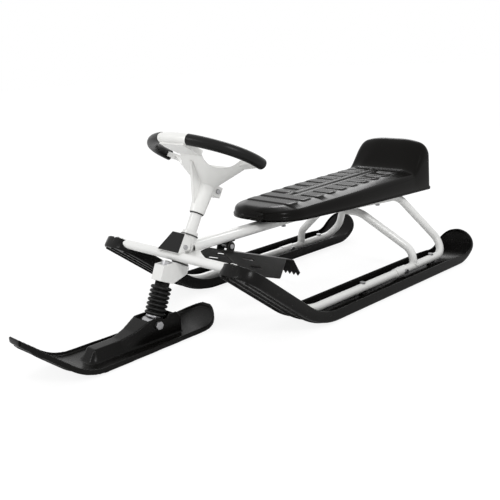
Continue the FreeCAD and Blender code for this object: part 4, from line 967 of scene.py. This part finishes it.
# Springs: hard drawn steel wire, the strut's coil on its rod inside the boot, the brake's on its hinge pin.
# Both are wound cold; the brake's has two straight legs, one against the hanger and one on the plate.
strut_spring_low = 0.0164
strut_spring_high = 0.0456
strut_spring_turns = 4.5
strut_spring_radius = 0.0097
strut_spring_wire = 0.0010
brake_pin_place = Vector((0.070, 0, 0.154))
brake_spring_half = 0.0096
brake_spring_turns = 8.0
brake_spring_radius = 0.0055
brake_spring_wire = 0.0011
brake_leg_up = 0.0078
brake_leg_down = 0.0084
coil_points = 40
wire_sides = 12


def coil_tree():
    """A geometry tree that winds a round wire into a coil."""
    tree = bpy.data.node_groups.new("wound_coil", "GeometryNodeTree")
    for label in ("Turns", "Coil Radius", "Height", "Wire Radius"):
        tree.interface.new_socket(label, in_out="INPUT", socket_type="NodeSocketFloat")
    tree.interface.new_socket("Wire", in_out="INPUT", socket_type="NodeSocketMaterial")
    tree.interface.new_socket("Geometry", in_out="OUTPUT", socket_type="NodeSocketGeometry")
    inlet = tree.nodes.new("NodeGroupInput")
    outlet = tree.nodes.new("NodeGroupOutput")
    spiral = tree.nodes.new("GeometryNodeCurveSpiral")
    spiral.inputs["Resolution"].default_value = coil_points
    section = tree.nodes.new("GeometryNodeCurvePrimitiveCircle")
    section.inputs["Resolution"].default_value = wire_sides
    wind = tree.nodes.new("GeometryNodeCurveToMesh")
    wind.inputs["Fill Caps"].default_value = True
    plain = tree.nodes.new("GeometryNodeRealizeInstances")
    paint = tree.nodes.new("GeometryNodeSetMaterial")
    link(tree, inlet, "Turns", spiral, "Rotations")
    link(tree, inlet, "Coil Radius", spiral, "Start Radius")
    link(tree, inlet, "Coil Radius", spiral, "End Radius")
    link(tree, inlet, "Height", spiral, "Height")
    link(tree, inlet, "Wire Radius", section, "Radius")
    link(tree, spiral, "Curve", wind, "Curve")
    link(tree, section, "Curve", wind, "Profile Curve")
    link(tree, wind, "Mesh", plain, "Geometry")
    link(tree, plain, "Geometry", paint, "Geometry")
    link(tree, inlet, "Wire", paint, "Material")
    link(tree, paint, "Geometry", outlet, "Geometry")
    return tree


coil_group = coil_tree()


def coil(turns, radius, height, wire, place):
    """Corners and faces of a coil wound by the tree and set in its place."""
    values = {"Turns": turns, "Coil Radius": radius, "Height": height, "Wire Radius": wire, "Wire": zinc}
    corners, faces = grown(bpy.data.meshes.new("coil_start"), coil_group, values)
    return [place @ corner for corner in corners], faces


spring_foot = strut_foot + strut_along * (strut_spring_low + strut_spring_wire)
spring_place = Matrix.Translation(spring_foot) @ strut_turn
spring_height = strut_spring_high - strut_spring_low - 2 * strut_spring_wire
spring_corners, spring_faces = coil(strut_spring_turns, strut_spring_radius, spring_height,
                                    strut_spring_wire, spring_place)
strut_spring = new_piece("strut_coil", spring_corners, spring_faces, zinc, "steering")
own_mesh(strut_spring)
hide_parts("strut_spring")

coil_reach = brake_spring_half - brake_spring_wire
pin_turn = Matrix.Rotation(-right_angle, 4, "X")
brake_coil_place = Matrix.Translation(brake_pin_place - Vector((0, coil_reach, 0))) @ pin_turn
spring_parts = [coil(brake_spring_turns, brake_spring_radius, 2 * coil_reach, brake_spring_wire,
                     brake_coil_place)]
for side, rise in ((1, brake_leg_up), (-1, -brake_leg_down)):
    start = brake_pin_place + Vector((side * brake_spring_radius, side * coil_reach, 0))
    leg_corners = []
    for height in (0, rise):
        for i in range(wire_sides):
            angle = 2 * math.pi * i / wire_sides
            around = Vector((math.cos(angle), math.sin(angle), 0)) * brake_spring_wire
            leg_corners.append(start + around + Vector((0, 0, height)))
    spring_parts.append((leg_corners, outward(leg_corners, rings(2, wire_sides))))
corners, faces = joined(spring_parts)
brake_spring = new_piece("brake_coil", corners, faces, zinc, "frame")
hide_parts("brake_spring")

# Studio: a pale floor that keeps a soft shadow, even white light from all round and three soft lamps.
# The floor is nearly white to the camera, and the backdrop white to the camera and in reflections.
floor_reach = 12.0
floor_colour = (0.86, 0.86, 0.86, 1)
floor_glow = 1.12
floor_glow_share = 0.78
fill_strength = 0.72
backdrop_strength = 1.0
bpy.context.scene.view_settings.view_transform = "Standard"
floor_mesh = bpy.data.meshes.new("floor")
floor_mesh.from_pydata([(-floor_reach, -floor_reach, 0), (floor_reach, -floor_reach, 0),
                        (floor_reach, floor_reach, 0), (-floor_reach, floor_reach, 0)], [], [(0, 1, 2, 3)])
floor = bpy.data.objects.new("floor", floor_mesh)
bpy.context.scene.collection.objects.link(floor)
floor_paint = bpy.data.materials.new("floor_paint")
floor_paint.use_nodes = True
tree = floor_paint.node_tree
tree.nodes.clear()
path = tree.nodes.new("ShaderNodeLightPath")
lit = tree.nodes.new("ShaderNodeBsdfDiffuse")
lit.inputs["Color"].default_value = floor_colour
glow = tree.nodes.new("ShaderNodeEmission")
glow.inputs["Strength"].default_value = floor_glow
seen = tree.nodes.new("ShaderNodeMath")
seen.operation = "MULTIPLY"
seen.inputs[1].default_value = floor_glow_share
mix = tree.nodes.new("ShaderNodeMixShader")
out = tree.nodes.new("ShaderNodeOutputMaterial")
link(tree, path, "Is Camera Ray", seen, 0)
link(tree, seen, "Value", mix, "Fac")
link(tree, lit, "BSDF", mix, 1)
link(tree, glow, "Emission", mix, 2)
link(tree, mix, "Shader", out, "Surface")
floor_mesh.materials.append(floor_paint)

world = bpy.data.worlds.new("studio")
bpy.context.scene.world = world
world.use_nodes = True
tree = world.node_tree
tree.nodes.clear()
path = tree.nodes.new("ShaderNodeLightPath")
fill = tree.nodes.new("ShaderNodeBackground")
fill.inputs["Strength"].default_value = fill_strength
backdrop = tree.nodes.new("ShaderNodeBackground")
backdrop.inputs["Strength"].default_value = backdrop_strength
shown = tree.nodes.new("ShaderNodeMath")
shown.operation = "MAXIMUM"
mirrored_too = tree.nodes.new("ShaderNodeMath")
mirrored_too.operation = "MAXIMUM"
mix = tree.nodes.new("ShaderNodeMixShader")
out = tree.nodes.new("ShaderNodeOutputWorld")
for background in (fill, backdrop):
    background.inputs["Color"].default_value = (1, 1, 1, 1)
link(tree, path, "Is Camera Ray", shown, 0)
link(tree, path, "Is Glossy Ray", shown, 1)
link(tree, shown, "Value", mirrored_too, 0)
link(tree, path, "Is Transmission Ray", mirrored_too, 1)
link(tree, mirrored_too, "Value", mix, "Fac")
link(tree, fill, "Background", mix, 1)
link(tree, backdrop, "Background", mix, 2)
link(tree, mix, "Shader", out, "Surface")

# Each soft lamp's name, its place, the point that it looks at, its size and its power.
lamps = (("key_lamp", (1.2, 2.2, 2.4), (0, 0, 0.15), 0.6, 30),
         ("side_lamp", (2.4, -1.0, 1.6), (0, 0, 0.2), 0.6, 14),
         ("rear_lamp", (-1.85, -1.15, 1.6), (-0.25, 0, 0.2), 0.9, 14))
for name, place, target, size, power in lamps:
    lamp_data = bpy.data.lights.new(name, "AREA")
    lamp_data.size = size
    lamp_data.energy = power
    lamp = bpy.data.objects.new(name, lamp_data)
    bpy.context.scene.collection.objects.link(lamp)
    lamp.location = place
    lamp.rotation_euler = (Vector(target) - Vector(place)).to_track_quat("-Z", "Y").to_euler()

# Camera: the photograph's place, a little above the sled on its front left, with a slight roll.
# The values come from a fit to points of the frame, the column and the front ski.
camera_azimuth = math.radians(136.22)
camera_height_angle = math.radians(15.39)
camera_roll = math.radians(-3.56)
camera_distance = 1.782
camera_target = Vector((-0.0270, -0.0244, 0.1163))
camera_sensor = 36.0
camera_lens = 54.0
camera_sight = 50.0
back = Vector((math.sin(camera_azimuth) * math.cos(camera_height_angle),
               -math.cos(camera_azimuth) * math.cos(camera_height_angle), math.sin(camera_height_angle)))
level_right = Vector((math.cos(camera_azimuth), math.sin(camera_azimuth), 0))
level_up = back.cross(level_right)
right = level_right * math.cos(camera_roll) + level_up * math.sin(camera_roll)
up = level_up * math.cos(camera_roll) - level_right * math.sin(camera_roll)
camera_data = bpy.data.cameras.new("camera")
camera_data.sensor_width = camera_sensor
camera_data.lens = camera_lens
camera_data.clip_end = camera_sight
camera = bpy.data.objects.new("camera", camera_data)
bpy.context.scene.collection.objects.link(camera)
turn = Matrix((right, up, back)).transposed().to_4x4()
camera.matrix_world = Matrix.Translation(camera_target + back * camera_distance) @ turn
bpy.context.scene.camera = camera
